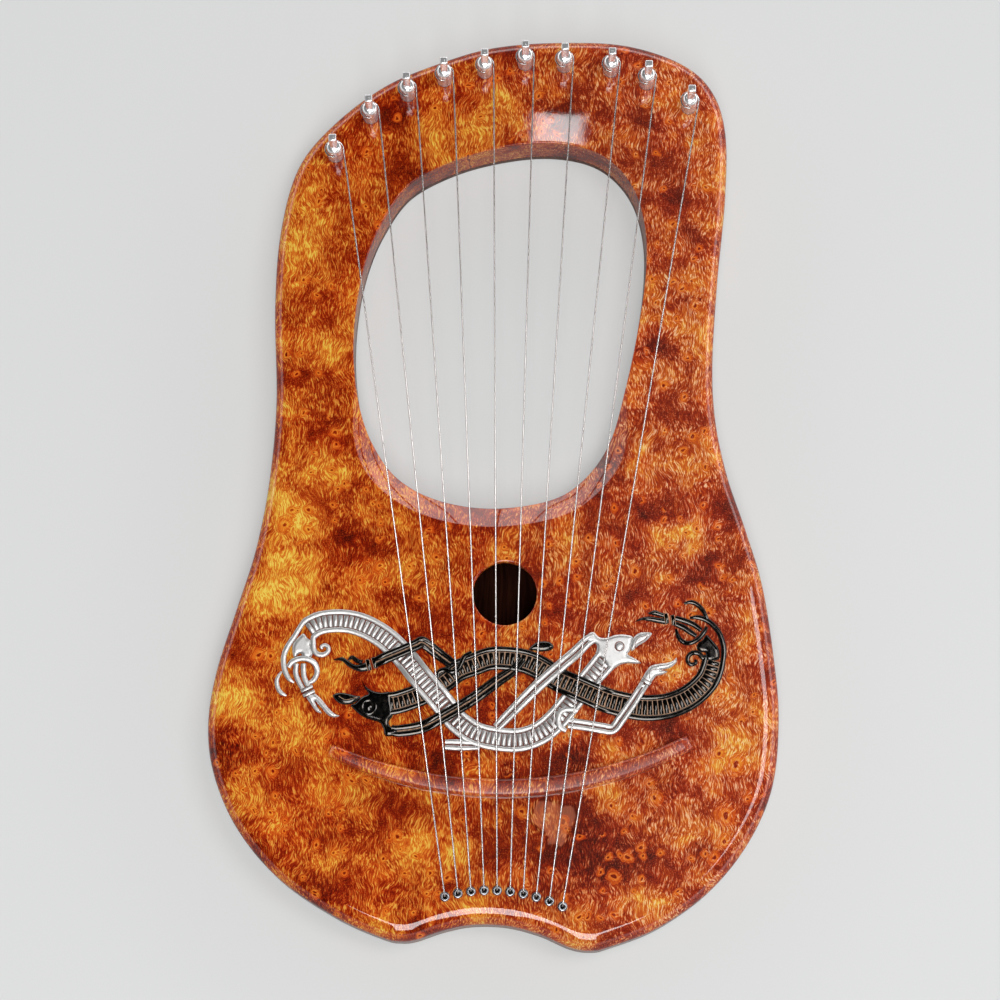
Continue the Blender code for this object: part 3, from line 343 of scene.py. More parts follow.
def inside(spot, loop):
    """Whether a point lies in a closed outline."""
    odd = False
    for i, p in enumerate(loop):
        q = loop[i - 1]
        if (p.y > spot.y) != (q.y > spot.y):
            odd ^= spot.x < p.x + (q.x - p.x) * (spot.y - p.y) / (q.y - p.y)
    return odd


def distance_to_loop(spot, loop):
    """Shortest distance from a point to a closed outline."""
    best = math.inf
    for i, p in enumerate(loop):
        side = p - loop[i - 1]
        share = (spot - loop[i - 1]).dot(side) / max(side.length_squared, 1e-18)
        near = loop[i - 1] + side * min(max(share, 0.0), 1.0)
        best = min(best, (spot - near).length)
    return best


def rounding(steps, start=0.0, end=math.pi / 2):
    """Steps round an edge as shares of its radius: still to go sideways, and gone down."""
    angles = [start + (end - start) * k / steps for k in range(steps + 1)]
    return [(1 - math.sin(a), 1 - math.cos(a)) for a in angles]


class Shell:
    """One mesh, put together from rings of points, skins and flat lids."""

    def __init__(self):
        self.bm = bmesh.new()

    def ring3(self, points):
        return [self.bm.verts.new(p) for p in points]

    def ring(self, loop, height):
        return self.ring3([(p.x, p.y, height) for p in loop])

    def rows(self, rings, slots=None):
        """Quads from ring to ring, all of equal count."""
        for one, two in zip(rings, rings[1:]):
            for k in range(len(one)):
                face = self.bm.faces.new((one[k - 1], one[k], two[k], two[k - 1]))
                if slots:
                    face.material_index = slots[k]

    def cap(self, ring, slot=0):
        self.bm.faces.new(ring).material_index = slot

    def bar(self, rings, slot=0, slots=None):
        """Rows of quads with a flat face at each end."""
        self.rows(rings, slots or [slot] * len(rings[0]))
        self.cap(rings[0], slot)
        self.cap(rings[-1], slot)

    def wall(self, loop, *heights, slot=0):
        """Upright wall on a loop; gives its rings."""
        rings = [self.ring(loop, height) for height in heights]
        self.rows(rings, [slot] * len(loop))
        return rings

    def rounded_wall(self, loop, side, radius, face, far, steps):
        """Wall with a rounded edge; gives its ring on the flat face and its far ring."""
        down = math.copysign(radius, far - face)
        rings = [self.ring(offset(loop, side * (radius + EDGE_MARGIN)), face)]
        rings += [self.ring(offset(loop, side * radius * away), face + down * drop)
                  for away, drop in rounding(steps)]
        rings.append(self.ring(loop, far))
        self.rows(rings)
        return rings[0], rings[-1]

    def lid(self, *rings, slot=0):
        """Flat face inside the first ring, with the other rings as holes."""
        edges = [self.bm.edges.get(pair) or self.bm.edges.new(pair)
                 for ring in rings for pair in zip(ring[-1:] + ring, ring)]
        made = bmesh.ops.triangle_fill(
            self.bm, use_beauty=True, use_dissolve=False, edges=edges)["geom"]
        for face in made:
            if isinstance(face, bmesh.types.BMFace):
                face.material_index = slot

    def piece(self, name, materials, sharp=35):
        """Finish the mesh as one object with its faces pointing out."""
        bmesh.ops.recalc_face_normals(self.bm, faces=self.bm.faces)
        mesh = bpy.data.meshes.new(name)
        self.bm.to_mesh(mesh)
        self.bm.free()
        for finish in materials:
            mesh.materials.append(finish)
        smoothed(mesh, sharp)
        return placed(name, mesh)


def smoothed(mesh, sharp):
    mesh.shade_smooth()
    mesh.set_sharp_from_angle(angle=math.radians(sharp))


def carved(name, base, *changes):
    """Mesh of a piece after its parts are joined to it or cut out of it."""
    for other, operation in changes:
        change = base.modifiers.new(other.name, "BOOLEAN")
        change.operation = operation
        change.solver = "EXACT"
        change.object = other
    bpy.context.view_layer.update()
    graph = bpy.context.evaluated_depsgraph_get()
    mesh = bpy.data.meshes.new_from_object(base.evaluated_get(graph))
    mesh.name = name
    for helper in (base, *(other for other, _ in changes)):
        bpy.data.objects.remove(helper, do_unlink=True)
    smoothed(mesh, 30)
    return mesh


def placed(name, mesh):
    made = bpy.data.objects.new(name, mesh)
    bpy.context.scene.collection.objects.link(made)
    return made


def settled(made, body, slot, *nodes):
    """Fix a piece to its body and hide the nodes that it stands for; the slot is not used."""
    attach(made, body)
    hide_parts(*nodes)


class Graph:
    """Adds nodes to one material or world and links them."""

    def __init__(self, owner):
        owner.use_nodes = True
        self.tree = owner.node_tree
        self.shader = self.tree.nodes.get("Principled BSDF")

    def put(self, kind, *values, **settings):
        """New node, with the values in its first sockets."""
        made = self.tree.nodes.new("ShaderNode" + kind)
        for key, value in settings.items():
            setattr(made, key, value)
        for socket, value in zip(made.inputs, values):
            self.feed(socket, value)
        return made

    def feed(self, socket, value):
        if isinstance(value, bpy.types.NodeSocket):
            self.tree.links.new(value, socket)
        elif socket.type == "RGBA":
            socket.default_value = (*value, 1.0)
        else:
            socket.default_value = value

    def set(self, node, **values):
        """Feed sockets by name; an underscore stands for a space."""
        for key, value in values.items():
            self.feed(node.inputs[key.replace("_", " ")], value)
        return node

    def shine(self, **values):
        self.set(self.shader, **values)

    def maths(self, operation, *values):
        return self.put("Math", *values, operation=operation).outputs[0]

    def times(self, one, two):
        return self.maths("MULTIPLY", one, two)

    def less(self, one, two):
        return self.maths("SUBTRACT", one, two)

    def added(self, start, value, share):
        """start + value * share"""
        return self.maths("MULTIPLY_ADD", value, share, start)

    def vector(self, operation, *values, out="Vector"):
        return self.put("VectorMath", *values, operation=operation).outputs[out]

    def split(self, place):
        return self.put("SeparateXYZ", place).outputs

    def noise(self, place, scale, detail=2.0, roughness=0.5, out="Fac"):
        made = self.put("TexNoise", place)
        return self.set(made, Scale=scale, Detail=detail, Roughness=roughness).outputs[out]

    def remap(self, value, low, high, to_low=0.0, to_high=1.0):
        """Ease from one number to another while the value goes from low to high."""
        return self.put("MapRange", value, low, high, to_low, to_high,
                        interpolation_type="SMOOTHSTEP").outputs[0]

    def ramp(self, value, stops):
        """Colour by value; a stop is its place and a grey, or red, green and blue."""
        made = self.put("ValToRGB", value)
        points = made.color_ramp.elements
        while len(points) < len(stops):
            points.new(1.0)
        for point, (place, *colour) in zip(points, stops):
            point.position = place
            point.color = (*(colour * 3)[:3], 1.0)
        return made.outputs[0]

    def mix(self, share, one, two, blend="MIX"):
        made = self.put("Mix", share, data_type="RGBA", blend_type=blend)
        self.feed(made.inputs[6], one)
        self.feed(made.inputs[7], two)
        return made.outputs[2]

    def bump(self, height, strength, distance):
        made = self.put("Bump")
        return self.set(made, Strength=strength, Distance=distance, Height=height).outputs[0]

    def spot(self):
        """Place on the piece in millimetres."""
        return self.vector("MULTIPLY", self.put("TexCoord").outputs["Object"], (1 / MM,) * 3)

    def flat(self, place):
        return self.vector("MULTIPLY", place, (1, 1, 0))

    def away(self, flat, x, y):
        return self.vector("DISTANCE", flat, (x, y, 0), out="Value")


def drift(g, spot, size, reach):
    """Random sideways shift of the place, that varies over the given size."""
    centred = g.vector("SUBTRACT", g.noise(spot, 1 / size, 1.0, out="Color"), (0.5,) * 3)
    return g.vector("MULTIPLY", centred, (reach,) * 3)


def moved(g, spot, size, reach):
    return g.vector("ADD", spot, drift(g, spot, size, reach))


def burl_clouds(g, spot):
    """Tone shift of the bright and dark clouds."""
    flat, tone = g.flat(spot), 0.0
    for x, y, radius, shift in CLOUDS:
        cloud = g.remap(g.away(flat, x, y), radius * 1.35, 0.0, 0.0, shift)
        tone = g.maths("ADD", cloud, tone)
    return tone


def burl_eyes(g, spot):
    """1 at the middle of an eye, falling to 0 at its rim."""
    flat, field = g.flat(spot), 0.0
    for x, y, radius in EYES:
        field = g.maths("MAXIMUM", g.added(1.0, g.away(flat, x, y), -1 / radius), field)
    cells = g.set(g.put("TexVoronoi", flat, voronoi_dimensions="2D"), Scale=1 / 8.5).outputs
    chance = g.maths("GREATER_THAN", g.noise(spot, 1 / 30, 1.0), 0.5)
    picked = g.times(g.maths("GREATER_THAN", cells["Color"], 0.45), chance)
    small = g.added(1.0, cells["Distance"], -1 / 0.27)
    return g.maths("MAXIMUM", g.times(small, picked), field)


def burl_wood(g, lacquer):
    """Figured burl under a clear lacquer of the given roughness."""
    finish = bpy.context.scene.lyre_finish
    spot = g.spot()
    fine = drift(g, spot, 2.2, 1.0)
    wide_spot = moved(g, spot, 15, 11)
    bent = g.vector("ADD", wide_spot, fine)
    eyes = burl_eyes(g, moved(g, spot, 4.5, 4.0))
    inside_eye = g.remap(eyes, 0.0, 0.42)
    clouds = burl_clouds(g, wide_spot)

    # Long strands in some areas, short grains in the others
    x, y, z = g.split(bent)
    along = g.put("CombineXYZ", g.added(x, eyes, 3.0), g.times(y, 0.15), g.times(z, 0.3))
    strands = g.noise(along.outputs[0], 2.3, 1.5, 0.6)
    grain = g.added(0.19, g.noise(spot, 1.8, 1.0, 0.6), 0.62)
    blotches = g.noise(bent, 1 / 19, 4.0, 0.68)
    stranded = g.remap(g.added(blotches, clouds, 0.1), 0.32, 0.50, 0.15, 0.85)
    choice = g.put("Mix", stranded)
    g.feed(choice.inputs[2], grain)
    g.feed(choice.inputs[3], strands)
    figure = choice.outputs[0]

    # Tone, from dark 0 to yellow 1
    tone = g.added(finish.tone, g.less(figure, 0.5), finish.strand_contrast)
    tone = g.added(tone, g.less(blotches, 0.5), finish.blotch_contrast)
    tone = g.added(tone, clouds, finish.cloud_contrast)
    tone = g.added(tone, g.times(g.less(finish.eye_tone, tone), 0.75), inside_eye)
    tone = g.added(tone, g.less(g.ramp(eyes, EYE_RINGS), 0.5), 0.85)
    crossing = g.maths("ABSOLUTE", g.less(strands, 0.46))
    lines = g.times(g.remap(crossing, 0.05, 0.0), stranded)
    tone = g.added(tone, lines, -finish.line_depth)
    colour = g.ramp(tone, BURL_TONES)

    # Redder patches, a painted reflection haze towards the treble side, and a paler sheen there
    red = g.times(g.remap(g.noise(wide_spot, 1 / 24), 0.56, 0.42), g.remap(clouds, 0.5, 0.0))
    colour = g.mix(g.times(red, finish.red_shift), colour, (1.0, 0.52, 0.4), "MULTIPLY")
    to_right = g.remap(g.split(spot)[0], -40, 90)
    # painted reflection haze: a little pale brown mixed in towards the treble side
    colour = g.mix(g.times(to_right, finish.painted_haze), colour, (0.75, 0.48, 0.34))
    sheen = g.times(g.remap(figure, 0.52, 0.68), g.remap(tone, 0.3, 0.8, 0.08, 0.5))
    sheen = g.times(sheen, g.added(1.0, to_right, 0.6))
    colour = g.mix(sheen, colour, g.mix(to_right, finish.strand, finish.right_strand))

    # The paler inclusion and its dark border
    x, y, radius = INCLUSION
    ragged = g.flat(g.vector("ADD", moved(g, spot, 9, 16), fine))
    away = g.maths("DIVIDE", g.away(ragged, x, y), radius)
    colour = g.mix(g.remap(away, 1.0, 0.8, 0.0, 0.36), colour, (0.60, 0.22, 0.12))
    border = g.remap(g.maths("ABSOLUTE", g.less(away, 1.0)), 0.16, 0.0, 0.0, 0.8)
    border = g.times(border, g.remap(strands, 0.62, 0.5))
    colour = g.mix(border, colour, (0.09, 0.010, 0.004))
    colour = g.mix(g.times(inside_eye, 0.6), colour, (1.0, 0.72, 0.5), "MULTIPLY")
    g.shine(Base_Color=colour, Roughness=0.45, Specular_IOR_Level=0.02, Coat_Weight=1.0,
            Coat_Roughness=lacquer, Coat_IOR=1.5, Coat_Normal=g.bump(figure, 1.0, 0.0000025))


def straight_wood(g, pale, dark, gloss, shine=0.5):
    """Plain wood with its grain along Y."""
    along = g.vector("MULTIPLY", moved(g, g.spot(), 30, 6), (1, 0.05, 1))
    grain = g.noise(along, 0.5, 4.0, 0.6)
    pores = g.noise(along, 2.6, 2.0, 0.7)
    colour = g.mix(g.remap(grain, 0.35, 0.65), dark, pale)
    colour = g.mix(g.times(g.remap(pores, 0.42, 0.3), 0.6), colour, dark)
    g.shine(Base_Color=colour, Specular_IOR_Level=shine, Normal=g.bump(pores, 0.15, 0.0002),
            Roughness=g.remap(grain, 0.3, 0.7, gloss + 0.1, gloss - 0.05))


def metal(g, colour, low, high, scale, stain=None):
    """Metal whose roughness wanders between two values, with a faint tarnish if it has one."""
    cloud = g.noise(g.spot(), scale, 3.0, 0.6)
    if stain:
        colour = g.mix(g.times(g.remap(cloud, 0.5, 0.75), 0.4), colour, stain)
    g.shine(Base_Color=colour, Metallic=1.0, Roughness=g.remap(cloud, 0.3, 0.7, low, high))


def painted_groove_light(g, colour):
    """Matt colour painted in the recesses of a casting for the light there: painted shade on the
    silver, painted highlight on the black; it darkens at random.
    """
    cloud = g.remap(g.noise(g.spot(), 0.8, 3.0, 0.6), 0.35, 0.65)
    g.shine(Base_Color=g.mix(cloud, tuple(c * 0.5 for c in colour), colour), Roughness=0.6)


def finishes(name, maker, *values, **options):
    """Make a material once and find it again afterwards."""
    found = bpy.data.materials.get(name)
    if not found:
        found = bpy.data.materials.new(name)
        maker(Graph(found), *values, **options)
    return found


def burl_finish():
    gloss = bpy.context.scene.lyre_finish.lacquer_roughness
    return finishes("lacquered_burl", burl_wood, gloss)


def painted_shade_inside_finish():
    # painted shade: near-black wood colour for the chamber wall and the back's inner face stands for
    # the shade inside the chamber
    return finishes("raw_inside", straight_wood, (0.022, 0.006, 0.003),
                    (0.008, 0.002, 0.001), 0.85, shine=0.02)


def threaded_metal(g, colour, roughness):
    """Polished metal with a fine turned thread on the lower part of the pin."""
    spot = g.spot()
    up = g.split(spot)[2]
    turns = g.maths("SINE", g.times(up, 2 * math.pi / THREAD_PITCH))
    thread = g.times(turns, g.remap(up, 9.4, 8.6))
    cloud = g.noise(spot, 0.6, 3.0, 0.6)
    g.shine(Base_Color=colour, Metallic=0.72, Normal=g.bump(thread, 1.0, 0.00005),
            Roughness=g.remap(cloud, 0.3, 0.7, roughness, roughness + 0.1))


def chrome_finish():
    return finishes("chromed_steel", threaded_metal, (0.88, 0.87, 0.88), 0.12)


def length(name, description, default, least, **limits):
    return FloatProperty(name=name, description=description, default=default, min=least,
                         unit="LENGTH", subtype="DISTANCE", **limits)


def amount(name, description, default, most=1):
    return FloatProperty(name=name, description=description, default=default, min=0, max=most,
                         subtype="FACTOR")


def tint(name, description, default):
    return FloatVectorProperty(name=name, description=description, default=default, size=3,
                               subtype="COLOR", min=0, max=1)


class LyreSizes(bpy.types.PropertyGroup):
    """Sizes of the fine surfaces."""
    rim_radius: length("Rim radius", "Roundover of the front's outer edge", 0.007, 0.001,
                       max=0.0075)
    rim_segments: IntProperty(
        name="Rim segments", description="Steps round the roundover", default=16, min=4)
    edge_rounding: length("Edge rounding", "Small radius on the opening's edges", 0.0005, 0.0001)
    wall: length("Side wall", "Wood left round the sound chamber", 0.009, 0.003)
    skin: length("Soundboard skin", "Wood left over the sound chamber", 0.0035, 0.001)
    scoop_width: length("Scoop width", "Bevel along the opening's lower rim", 0.009, 0.001)
    scoop_depth: length("Scoop depth", "How far the bevel goes down at its lip", 0.006, 0.001)
    sound_hole_radius: length("Sound hole radius", "Radius of the sound hole", 0.014, 0.002)
    string_radius: length("String radius", "Half the thickness of a string", 0.000325, 0.0001)
    relief_height: length("Ornament height", "Height of the cast rails and heads", 0.0009, 0.0002)


class LyreFinish(bpy.types.PropertyGroup):
    """Colours and gloss of the wood and the floor."""
    strand: tint("Bright strands", "Golden strands of the burl", (0.80, 0.51, 0.09))
    right_strand: tint("Treble strands", "Paler strands towards the treble side",
                       (0.86, 0.57, 0.36))
    tone: amount("Tone", "Brightness of the burl, from dark 0 to yellow 1", 0.485)
    strand_contrast: amount("Strand contrast", "How much strands and grains stand out", 1.4, 4)
    line_depth: amount("Line depth", "Darkness of the thin lines between strands", 0.17)
    blotch_contrast: amount("Blotch contrast", "How much the blotches stand out", 1.65, 4)
    red_shift: amount("Red shift", "How red the wood turns in its redder parts", 0.45)
    # painted reflection haze towards the treble side
    painted_haze: amount("Treble veil", "Share of pale brown mixed in at the treble side", 0.02)
    eye_tone: amount("Eye tone", "Tone inside the eyes of the burl", 0.68)
    cloud_contrast: amount("Cloud contrast", "How much the clouds stand out", 0.36, 2)
    lacquer_roughness: amount("Lacquer roughness", "Roughness of the clear coat", 0.006)
    bridge_roughness: amount("Bridge roughness", "Roughness of the bridge's clear coat", 0.30)
    floor: tint("Floor", "Colour of the studio floor", (0.70, 0.71, 0.705))


def scoop_strength(y):
    """1 along the opening's lower rim, easing to 0 up its sides."""
    share = min(max((SCOOP_END_Y - y) / SCOOP_FADE, 0.0), 1.0)
    return max(share * share * (3 - 2 * share), LEAST_SCOOP)


def body_loops():
    """Fine outline, opening and chamber of the body."""
    low, high = FRONT_LOW, FRONT_HIGH
    outline = smooth_loop(millimetres(OUTLINE), 8)
    for p in outline:
        p.x = min(max(p.x, low.x), high.x)
        p.y = min(max(p.y, low.y), high.y)
    opening = smooth_loop(millimetres(OPENING), 10)
    chamber = below(offset(outline, -bpy.context.scene.lyre_sizes.wall), CHAMBER_TOP_Y)
    return outline, opening, chamber


def opening_wall(shell, opening, sizes):
    """Wall from the flat face, over the scoop or the small rounding, to the lower face."""
    r = sizes.edge_rounding
    slope = math.atan2(sizes.scoop_depth, sizes.scoop_width)
    profile = [(0.0, r + EDGE_MARGIN, 0.0)]
    profile += [(0.0, r * away, r * drop) for away, drop in rounding(4, 0.0, slope)]
    profile += [(share, *profile[-1][1:]) for share in (0.04, 0.5, 0.96)]
    profile += [(1.0, r * away, r * drop) for away, drop in rounding(6, slope)]
    rings = []
    for share, away, drop in profile:
        ring = []
        for i, p in enumerate(opening):
            strength = scoop_strength(p.y)
            width = sizes.scoop_width * strength * (1 - share) + away
            spot = p + outward(opening, i) * width
            ring.append((*spot, FACE_Z - sizes.scoop_depth * strength * share - drop))
        rings.append(shell.ring3(ring))
    rings.append(shell.ring(opening, FRONT_LOW.z))
    shell.rows(rings)
    return rings[0], rings[-1]


def middle_of(node):
    low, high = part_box(node)
    return Vector(((low.x + high.x) / 2, (low.y + high.y) / 2))


class LYRE_OT_front_plate(bpy.types.Operator):
    """Front with its roundover, opening, scoop, sound hole and bores"""
    bl_idname = "lyre.front_plate"
    bl_label = "Front plate"

    def execute(self, context):
        sizes = context.scene.lyre_sizes
        outline, opening, chamber = body_loops()
        ceiling = FACE_Z - sizes.skin
        shell, bores = Shell(), Shell()
        walls = [shell.rounded_wall(outline, -1, sizes.rim_radius, FACE_Z, FRONT_LOW.z,
                                    sizes.rim_segments),
                 opening_wall(shell, opening, sizes)]
        room = shell.wall(chamber, ceiling, FRONT_LOW.z)
        seat, softened = EYELET_SEAT
        holes = [(circle(SOUND_HOLE, sizes.sound_hole_radius, 72), HOLE_ROUNDING)]
        holes += [(circle(middle_of("ferrule_" + number), seat, 24), softened)
                  for number in NUMBERS]
        holes = [shell.rounded_wall(loop, 1, radius, FACE_Z, ceiling, 4)
                 for loop, radius in holes]
        for number in NUMBERS:
            loop = circle(middle_of("tuning_pin_" + number), PIN_BORE_RADIUS, 48)
            bores.bar([bores.ring(loop, FACE_Z + CUT_MARGIN),
                       bores.ring(loop, FRONT_LOW.z - CUT_MARGIN)])
        shell.lid(*(face for face, _ in walls + holes))
        shell.lid(*(low for _, low in walls), room[1])
        shell.lid(room[0], *(low for _, low in holes))
        board = shell.piece("front_board", [burl_finish()])
        pin_bores = bores.piece("pin_bores", [burl_finish()])
        mesh = carved("front_plate", board, (pin_bores, "DIFFERENCE"))
        settled(placed("front_plate", mesh), BODY, "burl_wood", "soundboard")
        return {"FINISHED"}


class LYRE_OT_frame_ring(bpy.types.Operator):
    """Middle board with the chamber cut through it and the blind pin bores"""
    bl_idname = "lyre.frame_ring"
    bl_label = "Frame"

    def execute(self, context):
        shell = Shell()
        walls = [shell.wall(loop, FRAME_HIGH.z, FRAME_LOW.z, slot=slot)
                 for loop, slot in zip(body_loops(), (0, 0, 1))]
        bores = []
        for number in NUMBERS:
            node = "tuning_pin_" + number
            loop = circle(middle_of(node), PIN_BORE_RADIUS + 0.00002, 40)
            bores.append(shell.wall(loop, FRAME_HIGH.z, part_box(node)[0].z - FIT_GAP))
            shell.cap(bores[-1][1])
        shell.lid(*(top for top, _ in walls + bores))
        shell.lid(*(low for _, low in walls))
        # the chamber wall takes the painted inside shade
        settled(shell.piece("frame_ring", [burl_finish(), painted_shade_inside_finish()]),
                BODY, "burl_wood", "body_frame")
        return {"FINISHED"}


class LYRE_OT_rear_plate(bpy.types.Operator):
    """Back with its rounded lower edge and the pockets of the ball ends"""
    bl_idname = "lyre.rear_plate"
    bl_label = "Rear plate"

    def execute(self, context):
        outline, opening, _ = body_loops()
        top = BACK_HIGH.z
        shell = Shell()
        walls = [shell.rounded_wall(outline, -1, BACK_RIM_RADIUS, 0.0, top, 6),
                 shell.rounded_wall(opening, 1, context.scene.lyre_sizes.edge_rounding,
                                    0.0, top, 3)]
        for number in NUMBERS:
            loop = circle(middle_of("ball_end_" + number), BALL_POCKET_RADIUS, 32)
            walls.append(shell.wall(loop, 0.0, top))
        shell.lid(*(low for low, _ in walls))
        shell.lid(*(high for _, high in walls), slot=1)
        finish = finishes("lacquered_back", straight_wood, (0.17, 0.045, 0.014),
                          (0.05, 0.012, 0.005), 0.3)
        # the inner face takes the painted inside shade
        settled(shell.piece("rear_plate", [finish, painted_shade_inside_finish()]), BODY, "dark_wood", "back_plate")
        return {"FINISHED"}


BRIDGE_RADIUS = 0.176
BRIDGE_WIDTH = 0.008
BRIDGE_LEFT_WIDTH = 0.0055
BRIDGE_RIGHT_WIDTH = 0.0066
BRIDGE_ROUNDING = 0.002
BRIDGE_STATIONS = 96


class LYRE_OT_bridge(bpy.types.Operator):
    """Curved bridge with a rounded top"""
    bl_idname = "lyre.bridge"
    bl_label = "Bridge"

    def execute(self, context):
        centre = BRIDGE_LOW + Vector((0, BRIDGE_RADIUS))
        bottom = FACE_Z + GLUE_GAP
        corner = rounding(6)
        shell, rings = Shell(), []
        for k in range(BRIDGE_STATIONS + 1):
            share = k / BRIDGE_STATIONS
            angle = -BRIDGE_LEFT_ANGLE + share * (BRIDGE_LEFT_ANGLE + BRIDGE_RIGHT_ANGLE)
            end = BRIDGE_LEFT_WIDTH if share < 0.5 else BRIDGE_RIGHT_WIDTH
            blend = (1 - 2 * share) ** 2
            half = (BRIDGE_WIDTH * (1 - blend) + end * blend) / 2
            near_end = min(min(share, 1 - share) * BRIDGE_STATIONS / 4, 1)
            soft = BRIDGE_ROUNDING * (1 - math.sqrt(1 - (1 - near_end) ** 2))
            ray = Vector((math.sin(angle), -math.cos(angle)))
            section = [(-half, bottom)]
            for side, steps in ((-1, corner), (1, corner[::-1])):
                section += [(side * (half - BRIDGE_ROUNDING * inset),
                             BRIDGE_TOP - BRIDGE_ROUNDING * drop - soft) for drop, inset in steps]
            section.append((half, bottom))
            rings.append(shell.ring3([(*(centre + ray * (BRIDGE_RADIUS + away)), height)
                                      for away, height in section]))
        shell.bar(rings)
        satin = finishes("satin_burl", burl_wood, context.scene.lyre_finish.bridge_roughness)
        settled(shell.piece("bridge_bar", [satin], 40), BODY, "burl_wood", "bridge")
        return {"FINISHED"}


RAIL_WIDTH = 2.3           # millimetres, as are the other sizes of the ornament
GROOVE_FLOOR = 0.25
GROOVE_WIDTH = 0.5
RUNG_PITCH = 2.3
RUNG_WIDTH = 1.85
RUNG_GAP = 0.3
WEAVE_LIFT = 1.3
RAIL_STEPS = 8
PILLOW_ROUNDING = 1.7
PILLOW_SPACING = 0.45
ENGRAVING_WIDTH = 0.34
# slot 1 holds painted light in the grooves: painted shade on the silver, painted highlight on the
# black
METAL_SLOT, PAINTED_LIGHT_SLOT = 0, 1


def rail_arc(start, end, height, floor_start, floor_end):
    """Rounded rail between two places across a band."""
    points = []
    for k in range(RAIL_STEPS + 1):
        a = math.pi * k / RAIL_STEPS
        floor = floor_start if k < RAIL_STEPS / 2 else floor_end
        across = (start + end) / 2 - (end - start) / 2 * math.cos(a)
        points.append((across, max(height * math.sin(a) ** 0.5, floor)))
    return points


def two_rails(half, inner, height):
    """Section with a rail at each side of a sunk groove, and the place of the groove."""
    left = rail_arc(-half, -inner, height, 0.0, GROOVE_FLOOR)
    return left + rail_arc(inner, half, height, GROOVE_FLOOR, 0.0), len(left)


def rail_width(half):
    return min(RAIL_WIDTH, half * 0.45)


def spine_section(half, height):
    return two_rails(half, half - rail_width(half), height)


def limb_section(half, height):
    return two_rails(half, min(GROOVE_WIDTH, half * 0.2) / 2, height)


def tendril_section(half, height):
    return rail_arc(-half, half, min(height, half * 1.1), 0.0, 0.0), None


def band_frames(points, steps=7):
    """Middle, direction across, half width and base height along a band, in mm."""
    path = smooth_path([Vector((*p, 0)[:4]) for p in points], steps)
    frames = []
    for i, spot in enumerate(path):
        along = Vector(path[min(i + 1, len(path) - 1)][:2]) - Vector(path[max(i - 1, 0)][:2])
        across = Vector((-along.y, along.x)).normalized()
        lift = min(max(spot[3], 0.0), 1.0) * WEAVE_LIFT
        frames.append((Vector(spot[:2]), across, spot[2] / 2, lift))
    return frames


def on_face(spot, height):
    """World point over the front face, from millimetres."""
    return (spot.x * MM, spot.y * MM, FACE_Z + GLUE_GAP + height * MM)


def crosswise(shell, middle, across, section, lift=0.0):
    """Ring of a section, given as places across a band and heights."""
    return shell.ring3([on_face(middle + across * a, h + lift) for a, h in section])


def band(shell, points, section, height):
    """Loft a section along a band, with the painted groove light on its groove."""
    rings = []
    for middle, across, half, lift in band_frames(points):
        outline, groove = section(half, height)
        rings.append(crosswise(shell, middle, across, outline, lift))
    shell.bar(rings, slots=[PAINTED_LIGHT_SLOT if groove and k == groove else METAL_SLOT
                            for k in range(len(outline))])


def rungs(shell, points, height):
    """Ridged cross bars between a spine's rails, at an even pitch."""
    frames = band_frames(points)
    travelled, due = 0.0, RUNG_PITCH / 2
    for one, two in zip(frames, frames[1:]):
        step = (two[0] - one[0]).length
        while travelled + step >= due:
            share = (due - travelled) / step
            middle, across = (one[k].lerp(two[k], share) for k in (0, 1))
            half, lift = (one[k] + (two[k] - one[k]) * share for k in (2, 3))
            reach = half - rail_width(half) - RUNG_GAP
            rung(shell, middle, across.normalized(), reach, lift, height)
            due += RUNG_PITCH
        travelled += step


def rung(shell, middle, across, reach, lift, height):
    """One cross bar with a ridge along its top and sloping ends."""
    along = Vector((across.y, -across.x)) * RUNG_WIDTH / 2
    section = [(-1, 0.1), (-1, 0.45), (-0.7, 0.68), (0, 1.0), (0.7, 0.68), (1, 0.45), (1, 0.1)]
    shell.bar([shell.ring3([on_face(middle + across * reach * place + along * a,
                                    lift + h * tall * height) for a, h in section])
               for place, tall in ((-1, 0.62), (-0.9, 0.85), (0.9, 0.85), (1, 0.62))])


def pillow(shell, outline, height):
    """Raised shape with a flat underside and edges that round up to its height."""
    loop = smooth_loop([Vector(p) for p in outline], 5)
    xs, ys = zip(*loop)
    spots = list(loop)
    for j in range(int((max(ys) - min(ys)) / PILLOW_SPACING) + 1):
        for i in range(int((max(xs) - min(xs)) / PILLOW_SPACING) + 1):
            spot = Vector((min(xs) + (i + 0.5 * (j % 2)) * PILLOW_SPACING,
                           min(ys) + j * PILLOW_SPACING))
            if inside(spot, loop) and distance_to_loop(spot, loop) > PILLOW_SPACING * 0.4:
                spots.append(spot)
    rim = [(k, (k + 1) % len(loop)) for k in range(len(loop))]
    points, _, faces, *_ = delaunay_2d_cdt(spots, rim, [list(range(len(loop)))], 1, 1e-5)
    verts = []
    for p in points:
        depth = min(distance_to_loop(p, loop) / PILLOW_ROUNDING, 1.0)
        verts.append(shell.bm.verts.new(on_face(p, height * math.sqrt(1 - (1 - depth) ** 2))))
    for face in faces:
        shell.bm.faces.new([verts[k] for k in face])
    shell.cap(ordered([e for v in verts for e in v.link_edges if len(e.link_faces) == 1]))


def ordered(edges):
    """Vertices of one closed row of edges, in order."""
    left = list(dict.fromkeys(edges))
    walk = list(left.pop(0).verts)
    while left:
        step = next((e for e in left if walk[-1] in e.verts), None)
        if step is None:
            break
        left.remove(step)
        walk.append(step.other_vert(walk[-1]))
    return walk[:-1] if walk[0] is walk[-1] else walk


